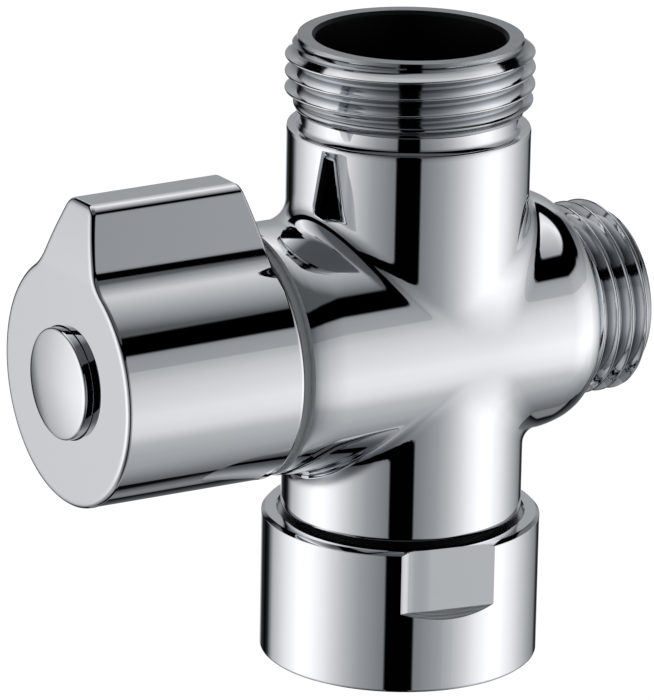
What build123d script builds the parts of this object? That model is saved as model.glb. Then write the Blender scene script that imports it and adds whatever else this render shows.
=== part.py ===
"""Two-outlet shower diverter with a swivel inlet nut and a half-turn ceramic cartridge.

The origin is the centre of the inlet nut's lower face. +Z runs up the main tube, +X runs towards
the side outlet and the knob points along -X. All lengths are millimetres and angles are degrees.
"""

from build123d import *
import math
import os

# Clearances shared by the pieces that fit each other
thread_gap = 0.05
running_gap = 0.05
thrust_gap = 0.1
lapped_gap = 0.02
seat_gap = 0.1

# Inlet washer and the sieve above it
washer_thickness = 1.8
sieve_thickness = 0.25
sieve_dome_height = 2.2
sieve_hole_radius = 0.55
sieve_rings = 3
sieve_holes_per_ring = 6

# Swivel nut
nut_wall = 2.94
nut_height = 15.4
nut_chamfer = 0.55
nut_thread_radius = 12.06
nut_thread_length = 7.0
nut_lead_chamfer = 0.8
flat_cut = 0.85
flat_height = 6.5
flat_turn = -9.0

# Inlet spigot with the groove for the nut's snap ring
spigot_radius = 11.3
spigot_lip = 0.9
groove_depth = 1.0
snap_ring_proud = 0.8
snap_ring_thickness = 1.2
snap_ring_split = 3.0
snap_ring_side_gap = 0.4
collar_gap = 0.3
nut_tube_gap = 0.8

# Main tube and the casting's outside
tube_radius = 12.95
axis_rise = 20.0
shoulder_rise = 22.3
outlet_rise = 9.7
edge_chamfer = 0.25
blend_radius = 3.0
boss_proud = 0.55
boss_reach = 6.35
arm_proud = 0.15
arm_reach = 4.35
arm_rounding = 1.6
side_outlet_length = 8.3

# Parallel pipe threads, drawn as ridges of the crest, depth and pitch of the real ones
top_crest_radius = 13.22
side_crest_radius = 10.48
thread_depth = 1.16
thread_pitch = 1.814
thread_turns = 4
crest_share = 0.22
top_neck_depth = 0.46
side_neck_depth = 0.22
side_neck_length = 0.65

# Water ways in the casting
top_bore_radius = 10.1
top_bore_depth = 17.0
side_bore_radius = 7.4
side_bore_depth = 14.3
inlet_bore_radius = 8.5
inlet_web = 3.2
inlet_port_radius = 3.8
inlet_port_offset = 4.6
riser_radius = 3.1
riser_offset = 6.8
bore_chamfer = 0.35

# Chamber for the cartridge
seat_position = 2.0
chamber_radius = 10.0
mouth_step = 1.2
mouth_depth = 5.0

# Ceramic cartridge, from its seat towards the knob
seal_thickness = 1.2
fixed_disc_thickness = 3.2
moving_disc_thickness = 3.0
carrier_thickness = 2.6
flange_thickness = 1.6
thrust_washer_thickness = 0.6
seal_side_gap = 0.4
disc_radius = 7.6
disc_bore_gap = 0.15
port_inner_radius = 2.0
port_outer_radius = 6.3
port_arc = 120
window_arc = 150
lug_radius = 1.0
lug_circle = 5.2
lug_length = 1.1
lug_spread = 60
key_width = 2.4
key_depth = 0.8
tang_side = 4.0
water_notch_radius = 3.6

# Cartridge housing
waist_wall = 0.85
waist_margin = 0.6
window_count = 3
window_sweep = 75
stop_sweep = 89
stop_clearance = 0.3
hexagon_across_flats = 19.0
hexagon_length = 3.2
nose_radius = 5.6
nose_length = 2.5
o_ring_section = 1.6

# Spindle and its clip
spindle_radius = 4.0
spindle_flange_radius = 6.6
spindle_ring_section = 1.2
spindle_ring_setbacks = (10.4, 5.4)
clip_groove_depth = 1.0
clip_overhang = 1.2
clip_thickness = 0.8
clip_mouth = 4.2
collar_length = 0.9
square_corner_gap = 0.25

# Knob
knob_gap = 1.05
knob_length = 20.95
knob_radius = 12.96
knob_wall = 1.3
knob_front_wall = 3.0
fin_rise = 6.24
fin_top_half_width = 2.3
fin_base_half_width = 5.4
fin_base_drop = 0.76
fin_blend_radius = 5.0
fin_edge_radius = 0.8
fin_slant_drop = 1.46
fin_slant = 1.6
hub_gap = 0.8
hub_wall = 1.7
hub_web = 1.6
insert_wall = 0.8
spindle_end_gap = 0.6

# Cap, screw and washer in the knob's pocket
cap_radius = 5.97
cap_proud = 1.5
cap_length = 4.4
cap_dome_height = 0.5
cap_wall = 0.8
pocket_depth = 5.3
pocket_wall = 1.6
pocket_mouth_gap = 0.53
pocket_mouth_depth = 1.6
screw_radius = 2.0
screw_hole_gap = 0.2
screw_head_radius = 3.6
screw_head_height = 2.4
screw_length = 7.6
screw_slot_width = 0.9
screw_slot_depth = 1.1
screw_washer_radius = 4.8
screw_washer_thickness = 0.8

# Heights that follow from the sizes above
washer_bottom = nut_thread_length + seat_gap
washer_top = washer_bottom + washer_thickness
sieve_top = washer_top + sieve_thickness
spigot_bottom = sieve_top + running_gap
groove_bottom = spigot_bottom + spigot_lip
groove_top = groove_bottom + snap_ring_thickness + seat_gap
collar_bottom = groove_top + collar_gap
tube_bottom = nut_height + nut_tube_gap
axis_height = tube_bottom + axis_rise
shoulder_height = axis_height + shoulder_rise
rim_height = shoulder_height + outlet_rise
inlet_bore_top = axis_height - chamber_radius - inlet_web
top_bore_bottom = rim_height - top_bore_depth
top_thread_start = rim_height - edge_chamfer - thread_turns * thread_pitch

# Radii that follow
nut_radius = nut_thread_radius + nut_wall
across_flats = 2 * (nut_radius - flat_cut)
boss_radius = tube_radius + boss_proud
arm_radius = tube_radius + arm_proud
groove_radius = spigot_radius - groove_depth
snap_ring_radius = spigot_radius + snap_ring_proud
nut_relief_radius = snap_ring_radius + snap_ring_side_gap
collar_radius = spigot_radius + running_gap
washer_outer_radius = nut_thread_radius - running_gap
washer_inner_radius = inlet_bore_radius + collar_gap
sieve_rim_radius = spigot_radius - 5 * seat_gap
sieve_dome_radius = inlet_bore_radius - 5 * seat_gap
chamber_mouth_radius = chamber_radius + mouth_step
disc_bore_radius = disc_radius + disc_bore_gap
waist_radius = disc_bore_radius + waist_wall
spindle_bore_radius = spindle_radius + running_gap
stop_inner_radius = spindle_flange_radius + stop_clearance
square_side = math.sqrt(2) * spindle_radius - square_corner_gap
insert_radius = square_side / math.sqrt(2) + insert_wall
hub_radius = insert_radius + hub_wall
pocket_radius = cap_radius + running_gap
port_middle_radius = (port_inner_radius + port_outer_radius) / 2

# Places along the cross axis, with x growing towards the side outlet
fixed_disc_face = seat_position - seal_thickness
lapped_face = fixed_disc_face - fixed_disc_thickness
moving_disc_face = lapped_face - lapped_gap
carrier_face = moving_disc_face - moving_disc_thickness
flange_face = carrier_face - carrier_thickness
thrust_face = flange_face - flange_thickness
thrust_washer_face = thrust_face - thrust_gap
housing_floor = thrust_washer_face - thrust_washer_thickness
boss_face = -(tube_radius + boss_reach)
arm_end = tube_radius + arm_reach
mouth_floor = boss_face + mouth_depth
hexagon_face = boss_face - hexagon_length
nose_face = hexagon_face - nose_length
clip_face = nose_face - thrust_gap
clip_end = clip_face - clip_thickness
square_start = clip_end - collar_length
knob_rear = boss_face - knob_gap
knob_front = knob_rear - knob_length
hub_rear = square_start - hub_gap
pocket_floor = knob_front + pocket_depth
insert_face = pocket_floor + hub_web
spindle_end = insert_face + spindle_end_gap
screw_seat = pocket_floor - screw_washer_thickness
cap_front = knob_front - cap_proud
cap_skirt_end = cap_front + cap_length
side_thread_start = arm_end + side_neck_length
side_outlet_end = arm_end + side_outlet_length
side_bore_floor = side_outlet_end - side_bore_depth

# The cross axis, and the side that the fin and the open ports point to
cross_plane = Plane(origin=(0, 0, axis_height), x_dir=(1, 0, 0), z_dir=(0, -1, 0))
cross_axis = Axis((0, 0, axis_height), (1, 0, 0))
fin_side = 90
stop_side = 0

def across(position):
    """The plane across the cross axis at this x, with its own x along +Y and its own y along +Z."""
    return Plane(origin=(position, 0, axis_height), x_dir=(0, 1, 0), z_dir=(1, 0, 0))


def turned(outline, plane, axis, mode=Mode.ADD):
    """Revolve a closed outline, drawn as points on the plane, into the part being built."""
    with BuildSketch(plane) as section:
        with BuildLine():
            Polyline(*outline, close=True)
        make_face()
    revolve(section.sketch, axis=axis, mode=mode)


def cross_ring(start, end, inner, outer, mode=Mode.ADD):
    """Add or cut a plain ring about the cross axis, from one x to another."""
    outline = [(start, inner), (end, inner), (end, outer), (start, outer)]
    turned(outline, cross_plane, cross_axis, mode)


def upright_ring(bottom, top, inner, outer, mode=Mode.ADD):
    """Add or cut a plain ring about the main tube's axis, from one height to another."""
    outline = [(inner, bottom), (outer, bottom), (outer, top), (inner, top)]
    turned(outline, Plane.XZ, Axis.Z, mode)


def ridge_outline(start, crest_radius):
    """Points (along, radius) over the ridges of a thread that starts at this place."""
    crest = crest_share * thread_pitch
    flank = thread_pitch / 2 - crest
    points = []
    for turn in range(thread_turns):
        foot = start + turn * thread_pitch + crest / 2
        points.append((foot, crest_radius - thread_depth))
        points.append((foot + flank, crest_radius))
        points.append((foot + flank + crest, crest_radius))
        points.append((foot + 2 * flank + crest, crest_radius - thread_depth))
    return points


def sector_face(plane, inner, outer, middle, sweep):
    """A face between two radii and two angles around the plane's origin."""
    start = middle - sweep / 2
    with BuildSketch(plane) as sector:
        with BuildLine():
            outside = CenterArc((0, 0), outer, start, sweep)
            inside = CenterArc((0, 0), inner, start, sweep)
            Line(outside @ 0, inside @ 0)
            Line(outside @ 1, inside @ 1)
        make_face()
    return sector.sketch


def dome_arc(rise, half_width):
    """The radius of a dome of this rise and half width, and the angle from its top to its edge."""
    radius = (half_width**2 + rise**2) / (2 * rise)
    return radius, math.degrees(math.asin(half_width / radius))


def o_ring(position, inner, section):
    """Add a round seal about the cross axis, with its inside resting on this radius."""
    with BuildSketch(cross_plane) as wire:
        with Locations((position, inner + section / 2)):
            Circle(section / 2)
    revolve(wire.sketch, axis=cross_axis)


# Body: one casting, two crossing round stems blended into each other
top_neck_radius = top_crest_radius - thread_depth - top_neck_depth
tube_outline = [
    (0, spigot_bottom),
    (spigot_radius, spigot_bottom),
    (spigot_radius, groove_bottom),
    (groove_radius, groove_bottom),
    (groove_radius, groove_top),
    (spigot_radius, groove_top),
    (spigot_radius, tube_bottom),
    (tube_radius - edge_chamfer, tube_bottom),
    (tube_radius, tube_bottom + edge_chamfer),
    (tube_radius, shoulder_height - edge_chamfer),
    (tube_radius - edge_chamfer, shoulder_height),
    (top_neck_radius, shoulder_height),
    (top_neck_radius, top_thread_start),
]
for height, radius in ridge_outline(top_thread_start, top_crest_radius):
    tube_outline.append((radius, height))
tube_outline += [(top_crest_radius - thread_depth, rim_height), (0, rim_height)]

side_root_radius = side_crest_radius - thread_depth
side_neck_radius = side_root_radius - side_neck_depth
side_outline = [(0, 0), (0, side_neck_radius), (side_thread_start, side_neck_radius)]
side_outline += ridge_outline(side_thread_start, side_crest_radius)
side_outline += [(side_outlet_end, side_root_radius), (side_outlet_end, 0)]

stem_outline = [(arm_end, 0), (boss_face, 0), (boss_face, boss_radius), (arm_end, arm_radius)]

with BuildPart() as body:
    turned(tube_outline, Plane.XZ, Axis.Z)
    turned(stem_outline, cross_plane, cross_axis)
    crossing_edges = body.edges(Select.LAST).filter_by(GeomType.BSPLINE)
    fillet(crossing_edges, blend_radius)
    arm_edge = body.edges().filter_by(GeomType.CIRCLE).sort_by(Axis.X)[-1]
    fillet(arm_edge, arm_rounding)
    turned(side_outline, cross_plane, cross_axis)
    # Chamber, mouth and the water ways behind the seat
    cross_ring(boss_face, seat_position, 0, chamber_radius, Mode.SUBTRACT)
    cross_ring(boss_face, mouth_floor, 0, chamber_mouth_radius, Mode.SUBTRACT)
    cross_ring(side_bore_floor, side_outlet_end, 0, side_bore_radius, Mode.SUBTRACT)
    upright_ring(top_bore_bottom, rim_height, 0, top_bore_radius, Mode.SUBTRACT)
    upright_ring(spigot_bottom, inlet_bore_top, 0, inlet_bore_radius, Mode.SUBTRACT)
    passages = ((port_middle_radius, riser_offset), (-port_middle_radius, side_bore_floor))
    for height, passage_end in passages:
        with BuildSketch(across(seat_position)):
            with Locations((0, height)):
                Circle(riser_radius)
        extrude(amount=passage_end - seat_position, mode=Mode.SUBTRACT)
    with BuildSketch(Plane.XY.offset(axis_height + port_middle_radius)):
        with Locations((riser_offset, 0)):
            Circle(riser_radius)
    extrude(amount=top_bore_bottom - axis_height - port_middle_radius, mode=Mode.SUBTRACT)
    with BuildSketch(Plane.XY.offset(inlet_bore_top)):
        with Locations((-inlet_port_offset, 0)):
            Circle(inlet_port_radius)
    extrude(amount=axis_height - inlet_bore_top, mode=Mode.SUBTRACT)
    rim_edge = body.edges().filter_by(GeomType.CIRCLE).group_by(Axis.Z)[-1].sort_by(SortBy.RADIUS)[0]
    outlet_edge = body.edges().filter_by(GeomType.CIRCLE).group_by(Axis.X)[-1].sort_by(SortBy.RADIUS)[0]
    chamfer([rim_edge, outlet_edge], bore_chamfer)

# Swivel nut: inside thread below, collar above, two wrench flats
thread_mouth_radius = nut_thread_radius + nut_lead_chamfer
nut_outline = [
    (thread_mouth_radius, 0),
    (nut_radius, 0),
    (nut_radius, nut_height - nut_chamfer),
    (nut_radius - nut_chamfer, nut_height),
    (collar_radius, nut_height),
    (collar_radius, collar_bottom),
    (nut_relief_radius, collar_bottom),
    (nut_relief_radius, nut_thread_length),
    (nut_thread_radius, nut_thread_length),
    (nut_thread_radius, nut_lead_chamfer),
]
with BuildPart() as swivel_nut:
    turned(nut_outline, Plane.XZ, Axis.Z)
    with BuildSketch(Plane.XY.offset(nut_height - flat_height).rotated((0, 0, flat_turn))):
        Circle(2 * nut_radius)
        Rectangle(4 * nut_radius, across_flats, mode=Mode.SUBTRACT)
    extrude(amount=nut_height, mode=Mode.SUBTRACT)

# Snap ring: rests in the spigot's groove under the nut's collar
with BuildPart() as nut_snap_ring:
    with BuildSketch(Plane.XY.offset(groove_bottom + seat_gap)):
        Circle(snap_ring_radius)
        Circle(groove_radius + seat_gap, mode=Mode.SUBTRACT)
        with Locations((0, snap_ring_radius)):
            Rectangle(snap_ring_split, snap_ring_radius, mode=Mode.SUBTRACT)
    extrude(amount=snap_ring_thickness - seat_gap)

# Inlet washer: flat rubber ring inside the nut
with BuildPart() as inlet_washer:
    upright_ring(washer_bottom, washer_top, washer_inner_radius, washer_outer_radius)

# Inlet filter: domed sieve whose rim lies between the washer and the spigot
dome, dome_sweep = dome_arc(sieve_dome_height, sieve_dome_radius)
sieve_ring_step = (sieve_dome_radius - 3 * sieve_hole_radius) / sieve_rings
with BuildPart() as inlet_filter:
    with BuildSketch(Plane.XZ):
        with BuildLine():
            outside = CenterArc((0, sieve_top + sieve_dome_height - dome), dome, 90, -dome_sweep)
            inside = CenterArc((0, washer_top + sieve_dome_height - dome), dome, 90, -dome_sweep)
            Line(outside @ 0, inside @ 0)
            Line(outside @ 1, (sieve_rim_radius, sieve_top))
            Line((sieve_rim_radius, sieve_top), (sieve_rim_radius, washer_top))
            Line((sieve_rim_radius, washer_top), inside @ 1)
        make_face()
    revolve(axis=Axis.Z)
    with BuildSketch(Plane.XY.offset(washer_top)):
        Circle(sieve_hole_radius)
        for ring in range(1, sieve_rings + 1):
            with PolarLocations(ring * sieve_ring_step, ring * sieve_holes_per_ring):
                Circle(sieve_hole_radius)
    extrude(amount=2 * sieve_dome_height, mode=Mode.SUBTRACT)

# Cartridge housing: sleeve with water windows, thread, hexagon head and nose
housing_radius = chamber_radius - seat_gap
housing_thread_radius = chamber_mouth_radius - thread_gap
o_ring_floor = chamber_radius - o_ring_section
o_ring_groove = o_ring_section + 2 * seat_gap
o_ring_position = (housing_floor + mouth_floor) / 2
waist_start = lapped_face + waist_margin
waist_end = flange_face - waist_margin
housing_outline = [
    (fixed_disc_face, disc_bore_radius),
    (fixed_disc_face, housing_radius),
    (waist_start, housing_radius),
    (waist_start, waist_radius),
    (waist_end, waist_radius),
    (waist_end, housing_radius),
    (o_ring_position + o_ring_groove / 2, housing_radius),
    (o_ring_position + o_ring_groove / 2, o_ring_floor),
    (o_ring_position - o_ring_groove / 2, o_ring_floor),
    (o_ring_position - o_ring_groove / 2, housing_radius),
    (mouth_floor, housing_radius),
    (mouth_floor, housing_thread_radius),
    (boss_face, housing_thread_radius),
    (boss_face, nose_radius),
    (nose_face, nose_radius),
    (nose_face, spindle_bore_radius),
    (housing_floor, spindle_bore_radius),
    (housing_floor, disc_bore_radius),
]
with BuildPart() as cartridge_housing:
    turned(housing_outline, cross_plane, cross_axis)
    with BuildSketch(across(hexagon_face)):
        RegularPolygon(hexagon_across_flats / 2, 6, major_radius=False)
        Circle(spindle_bore_radius, mode=Mode.SUBTRACT)
    extrude(amount=hexagon_length)
    for window in range(window_count):
        window_middle = fin_side + window * 360 / window_count
        window_face = sector_face(
            across(flange_face), disc_radius, chamber_radius, window_middle, window_sweep
        )
        extrude(window_face, amount=carrier_thickness, mode=Mode.SUBTRACT)
    stop_face = sector_face(
        across(housing_floor), stop_inner_radius, waist_radius, stop_side, stop_sweep
    )
    extrude(stop_face, amount=flange_face - housing_floor)
    with BuildSketch(across(lapped_face)):
        with Locations((disc_bore_radius, 0), (-disc_bore_radius, 0)):
            Rectangle(2 * key_depth, key_width)
        Circle(waist_radius, mode=Mode.INTERSECT)
    extrude(amount=fixed_disc_thickness)

with BuildPart() as housing_o_ring:
    o_ring(o_ring_position, o_ring_floor, o_ring_section)

# Port seal: gasket on the body's seat, with one window for each water way
with BuildPart() as port_seal:
    with BuildSketch(across(fixed_disc_face)):
        Circle(chamber_radius - seal_side_gap)
    extrude(amount=seal_thickness)
    for side in (fin_side, fin_side + 180):
        port_face = sector_face(
            across(fixed_disc_face), port_inner_radius, port_outer_radius, side, port_arc
        )
        extrude(port_face, amount=seal_thickness, mode=Mode.SUBTRACT)

# Fixed disc: held by the housing's two keys, one half-moon port for each outlet
with BuildPart() as fixed_disc:
    with BuildSketch(across(lapped_face)):
        Circle(disc_radius)
        with Locations((disc_bore_radius, 0), (-disc_bore_radius, 0)):
            Rectangle(2 * (key_depth + seat_gap), key_width + 2 * seat_gap, mode=Mode.SUBTRACT)
    extrude(amount=fixed_disc_thickness)
    for side in (fin_side, fin_side + 180):
        port_face = sector_face(
            across(lapped_face), port_inner_radius, port_outer_radius, side, port_arc
        )
        extrude(port_face, amount=fixed_disc_thickness, mode=Mode.SUBTRACT)

# Moving disc: its window stands over one port or the other
with BuildPart() as moving_disc:
    with BuildSketch(across(carrier_face)):
        Circle(disc_radius)
    extrude(amount=moving_disc_thickness)
    disc_window = sector_face(
        across(carrier_face), port_inner_radius, port_outer_radius, fin_side, window_arc
    )
    extrude(disc_window, amount=moving_disc_thickness, mode=Mode.SUBTRACT)
    with BuildSketch(across(carrier_face)):
        with PolarLocations(lug_circle, 2, fin_side + 180 - lug_spread, 4 * lug_spread):
            Circle(lug_radius + seat_gap)
    extrude(amount=lug_length + seat_gap, mode=Mode.SUBTRACT)

# Disc carrier: square socket for the spindle, two lugs for the moving disc, one water notch
with BuildPart() as disc_carrier:
    with BuildSketch(across(flange_face)):
        Circle(disc_radius)
        Rectangle(tang_side + 2 * seat_gap, tang_side + 2 * seat_gap, mode=Mode.SUBTRACT)
    extrude(amount=carrier_thickness)
    notch = sector_face(
        across(flange_face), water_notch_radius, chamber_radius, fin_side, window_arc
    )
    extrude(notch, amount=carrier_thickness, mode=Mode.SUBTRACT)
    with BuildSketch(across(carrier_face)):
        with PolarLocations(lug_circle, 2, fin_side + 180 - lug_spread, 4 * lug_spread):
            Circle(lug_radius)
    extrude(amount=lug_length)

# Spindle: flange with its stop lug, seal and clip grooves, square end with the screw's hole
ring_floor = spindle_bore_radius - running_gap / 2 - spindle_ring_section
clip_groove_radius = spindle_radius - clip_groove_depth
spindle_ring_positions = [nose_face + setback for setback in spindle_ring_setbacks]
ring_groove = spindle_ring_section + 2 * seat_gap
spindle_outline = [(flange_face, 0), (flange_face, spindle_flange_radius)]
spindle_outline += [(thrust_face, spindle_flange_radius), (thrust_face, spindle_radius)]
for position in spindle_ring_positions:
    spindle_outline += [
        (position + ring_groove / 2, spindle_radius),
        (position + ring_groove / 2, ring_floor),
        (position - ring_groove / 2, ring_floor),
        (position - ring_groove / 2, spindle_radius),
    ]
spindle_outline += [
    (clip_face, spindle_radius),
    (clip_face, clip_groove_radius),
    (clip_end, clip_groove_radius),
    (clip_end, spindle_radius),
    (square_start, spindle_radius),
    (square_start, 0),
]
with BuildPart() as spindle:
    turned(spindle_outline, cross_plane, cross_axis)
    lug_face = sector_face(
        across(thrust_face), spindle_radius, disc_radius, fin_side, stop_sweep
    )
    extrude(lug_face, amount=flange_thickness)
    with BuildSketch(across(flange_face)):
        Rectangle(tang_side, tang_side)
    extrude(amount=carrier_thickness - seat_gap)
    with BuildSketch(across(spindle_end)):
        Rectangle(square_side, square_side)
    extrude(amount=square_start - spindle_end)
    screw_hole_floor = screw_seat + screw_length + seat_gap
    cross_ring(spindle_end, screw_hole_floor, 0, screw_radius + thread_gap, Mode.SUBTRACT)

with BuildPart() as spindle_o_ring_inner:
    o_ring(spindle_ring_positions[0], ring_floor, spindle_ring_section)

with BuildPart() as spindle_o_ring_outer:
    o_ring(spindle_ring_positions[1], ring_floor, spindle_ring_section)

with BuildPart() as thrust_washer:
    cross_ring(housing_floor, thrust_washer_face, spindle_bore_radius, spindle_flange_radius)

# Clip: open spring washer in the spindle's groove, outside the nose
clip_radius = spindle_radius + clip_overhang
with BuildPart() as spindle_clip:
    with BuildSketch(across(clip_end)):
        Circle(clip_radius)
        Circle(clip_groove_radius + thread_gap, mode=Mode.SUBTRACT)
        with Locations((0, -clip_radius)):
            Rectangle(clip_mouth, 2 * clip_radius, mode=Mode.SUBTRACT)
    extrude(amount=clip_thickness)

# Knob: hollow shell with its thumb fin, hub and screw pocket
fin_height = knob_radius + fin_rise
fin_flare = (fin_base_half_width - fin_top_half_width) / (fin_rise + fin_base_drop)
fin_root_half_width = fin_top_half_width + fin_flare * fin_height / 2
with BuildSketch(across(knob_rear)) as knob_outline:
    Circle(knob_radius)
    with BuildLine():
        Polyline(
            (-fin_root_half_width, fin_height / 2),
            (-fin_top_half_width, fin_height),
            (fin_top_half_width, fin_height),
            (fin_root_half_width, fin_height / 2),
            close=True,
        )
    make_face()
    fillet(knob_outline.vertices().group_by(Axis.Y)[-1], fin_edge_radius)
    fin_roots = knob_outline.vertices().filter_by_position(Axis.Y, fin_height / 2, knob_radius)
    fillet(fin_roots, fin_blend_radius)
with BuildSketch(across(knob_rear)) as knob_cavity:
    offset(knob_outline.sketch_local, amount=-knob_wall)

slant_above = 1.0
slant_start = knob_radius - fin_slant_drop
slant_reach = fin_slant * (1 + slant_above / (fin_height - slant_start))
pocket_shell_radius = pocket_radius + pocket_wall
pocket_mouth_radius = cap_radius + pocket_mouth_gap
with BuildPart() as knob:
    extrude(knob_outline.sketch, amount=-knob_length)
    extrude(knob_cavity.sketch, amount=knob_front_wall - knob_length, mode=Mode.SUBTRACT)
    cross_ring(knob_front, pocket_floor, 0, pocket_shell_radius)
    cross_ring(pocket_floor, hub_rear, 0, hub_radius)
    for end, inward in ((knob_front, 1), (knob_rear, -1)):
        with BuildSketch(cross_plane):
            with BuildLine():
                Polyline(
                    (end, slant_start),
                    (end + inward * slant_reach, fin_height + slant_above),
                    (end - inward, fin_height + slant_above),
                    (end - inward, slant_start),
                    close=True,
                )
            make_face()
        extrude(amount=knob_radius, both=True, mode=Mode.SUBTRACT)
    cross_ring(knob_front, knob_front + pocket_mouth_depth, 0, pocket_mouth_radius, Mode.SUBTRACT)
    cross_ring(knob_front, pocket_floor, 0, pocket_radius, Mode.SUBTRACT)
    cross_ring(pocket_floor, insert_face, 0, screw_radius + screw_hole_gap, Mode.SUBTRACT)
    cross_ring(insert_face, hub_rear, 0, insert_radius + thread_gap, Mode.SUBTRACT)

# Insert: brass bush with a square socket, pressed in the knob's hub
with BuildPart() as knob_insert:
    with BuildSketch(across(insert_face)):
        Circle(insert_radius)
        Rectangle(square_side + 2 * seat_gap, square_side + 2 * seat_gap, mode=Mode.SUBTRACT)
    extrude(amount=hub_rear - insert_face)

# Screw and washer under the cap
with BuildPart() as screw_washer:
    cross_ring(
        screw_seat,
        pocket_floor,
        screw_radius + screw_hole_gap,
        screw_washer_radius,
    )

with BuildPart() as knob_screw:
    cross_ring(screw_seat - screw_head_height, screw_seat, 0, screw_head_radius)
    cross_ring(screw_seat, screw_seat + screw_length, 0, screw_radius)
    with BuildSketch(across(screw_seat - screw_head_height)):
        Rectangle(2 * screw_head_radius, screw_slot_width)
        Rectangle(screw_slot_width, 2 * screw_head_radius)
        Circle(screw_head_radius / 2 + screw_slot_width, mode=Mode.INTERSECT)
    extrude(amount=screw_slot_depth, mode=Mode.SUBTRACT)

# Cap: domed button that snaps into the knob's pocket
cap_inner_radius = cap_radius - cap_wall
outer_dome, outer_sweep = dome_arc(cap_dome_height, cap_radius)
inner_dome, inner_sweep = dome_arc(cap_dome_height, cap_inner_radius)
with BuildPart() as index_cap:
    with BuildSketch(cross_plane):
        with BuildLine():
            outside = CenterArc((cap_front + outer_dome, 0), outer_dome, 180, -outer_sweep)
            inside = CenterArc((cap_front + cap_wall + inner_dome, 0), inner_dome, 180, -inner_sweep)
            Line(outside @ 1, (cap_skirt_end, cap_radius))
            Line((cap_skirt_end, cap_radius), (cap_skirt_end, cap_inner_radius))
            Line((cap_skirt_end, cap_inner_radius), inside @ 1)
            Line(inside @ 0, outside @ 0)
        make_face()
    revolve(axis=cross_axis)

pieces = {
    "body": body,
    "swivel_nut": swivel_nut,
    "nut_snap_ring": nut_snap_ring,
    "inlet_washer": inlet_washer,
    "inlet_filter": inlet_filter,
    "cartridge_housing": cartridge_housing,
    "housing_o_ring": housing_o_ring,
    "port_seal": port_seal,
    "fixed_disc": fixed_disc,
    "moving_disc": moving_disc,
    "disc_carrier": disc_carrier,
    "spindle": spindle,
    "spindle_o_ring_inner": spindle_o_ring_inner,
    "spindle_o_ring_outer": spindle_o_ring_outer,
    "thrust_washer": thrust_washer,
    "spindle_clip": spindle_clip,
    "knob": knob,
    "knob_insert": knob_insert,
    "screw_washer": screw_washer,
    "knob_screw": knob_screw,
    "index_cap": index_cap,
}
os.makedirs("parts", exist_ok=True)
for name, piece in pieces.items():
    piece.part.label = name
    export_step(piece.part, f"parts/{name}.step")
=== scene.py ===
"""Dressed model of the two-outlet shower diverter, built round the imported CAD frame.

The polished casting, the swivel nut, the knob and its cap are modelled here in bmesh and stand
for their CAD nodes. The cartridge, seals, screws and sieve keep their CAD meshes and get finishes.
Sizes in the classes are millimetres in the CAD frame; meshes are written in metres.
"""

import logging
import math
from dataclasses import dataclass
from enum import Enum
from typing import Iterable, Sequence

import bmesh
import bpy
import numpy as np
from mathutils import Matrix, Vector


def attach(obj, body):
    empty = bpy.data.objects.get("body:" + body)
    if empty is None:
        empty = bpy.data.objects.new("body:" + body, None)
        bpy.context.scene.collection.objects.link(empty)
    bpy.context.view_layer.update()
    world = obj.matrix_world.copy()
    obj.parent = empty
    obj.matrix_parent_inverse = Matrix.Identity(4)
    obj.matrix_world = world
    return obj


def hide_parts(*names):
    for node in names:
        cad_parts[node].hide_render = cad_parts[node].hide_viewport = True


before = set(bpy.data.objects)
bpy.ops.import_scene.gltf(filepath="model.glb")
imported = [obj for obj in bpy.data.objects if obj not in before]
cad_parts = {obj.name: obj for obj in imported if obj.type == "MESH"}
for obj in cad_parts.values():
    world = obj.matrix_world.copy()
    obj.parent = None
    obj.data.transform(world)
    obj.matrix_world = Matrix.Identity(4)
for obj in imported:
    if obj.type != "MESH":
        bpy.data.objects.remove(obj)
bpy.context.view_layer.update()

# One millimetre in metres, and how high the cross stem's axis lies
MM = 0.001
AXIS_HEIGHT = 36.2

# How near two points must be to count as one, and what keeps a divisor off zero
CLOSE = 1e-4
TINY = 1e-9

# How long a wave of the wave texture is at a scale of 1
WAVE_LENGTH = math.pi / 10

LOG = logging.getLogger("diverter")

# Rings of a turned surface: places along the axis and radii
Rings = Sequence[tuple[float, float]]


class Carrier(Enum):
    """The moving bodies of the record that pieces ride on."""

    VALVE = "valve_body"
    NUT = "inlet_nut"
    KNOB = "knob"


class Line(Enum):
    """The two axes that the round pieces are turned about."""

    TUBE = (0.0, 0.0, 1.0)
    CROSS = (1.0, 0.0, 0.0)

    @property
    def place(self) -> int:
        """Which coordinate runs along the axis."""
        return 2 if self is Line.TUBE else 0

    def foot(self) -> Vector:
        """A point on the axis, from which places along it are counted."""
        return Vector((0.0, 0.0, 0.0 if self is Line.TUBE else AXIS_HEIGHT))


def decode(share: float) -> float:
    """Turn one sRGB channel of 0 to 1 into linear light."""
    return share / 12.92 if share <= 0.04045 else ((share + 0.055) / 1.055) ** 2.4


def linear(colour: str) -> tuple[float, float, float, float]:
    """Turn an sRGB hex colour into the linear RGBA that Blender's sockets take.

    Args:
        colour: The colour as "#rrggbb".

    Returns:
        Red, green and blue in linear light, with an alpha of one.
    """
    red, green, blue = (decode(int(colour[i : i + 2], 16) / 255) for i in (1, 3, 5))
    return (red, green, blue, 1.0)


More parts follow.
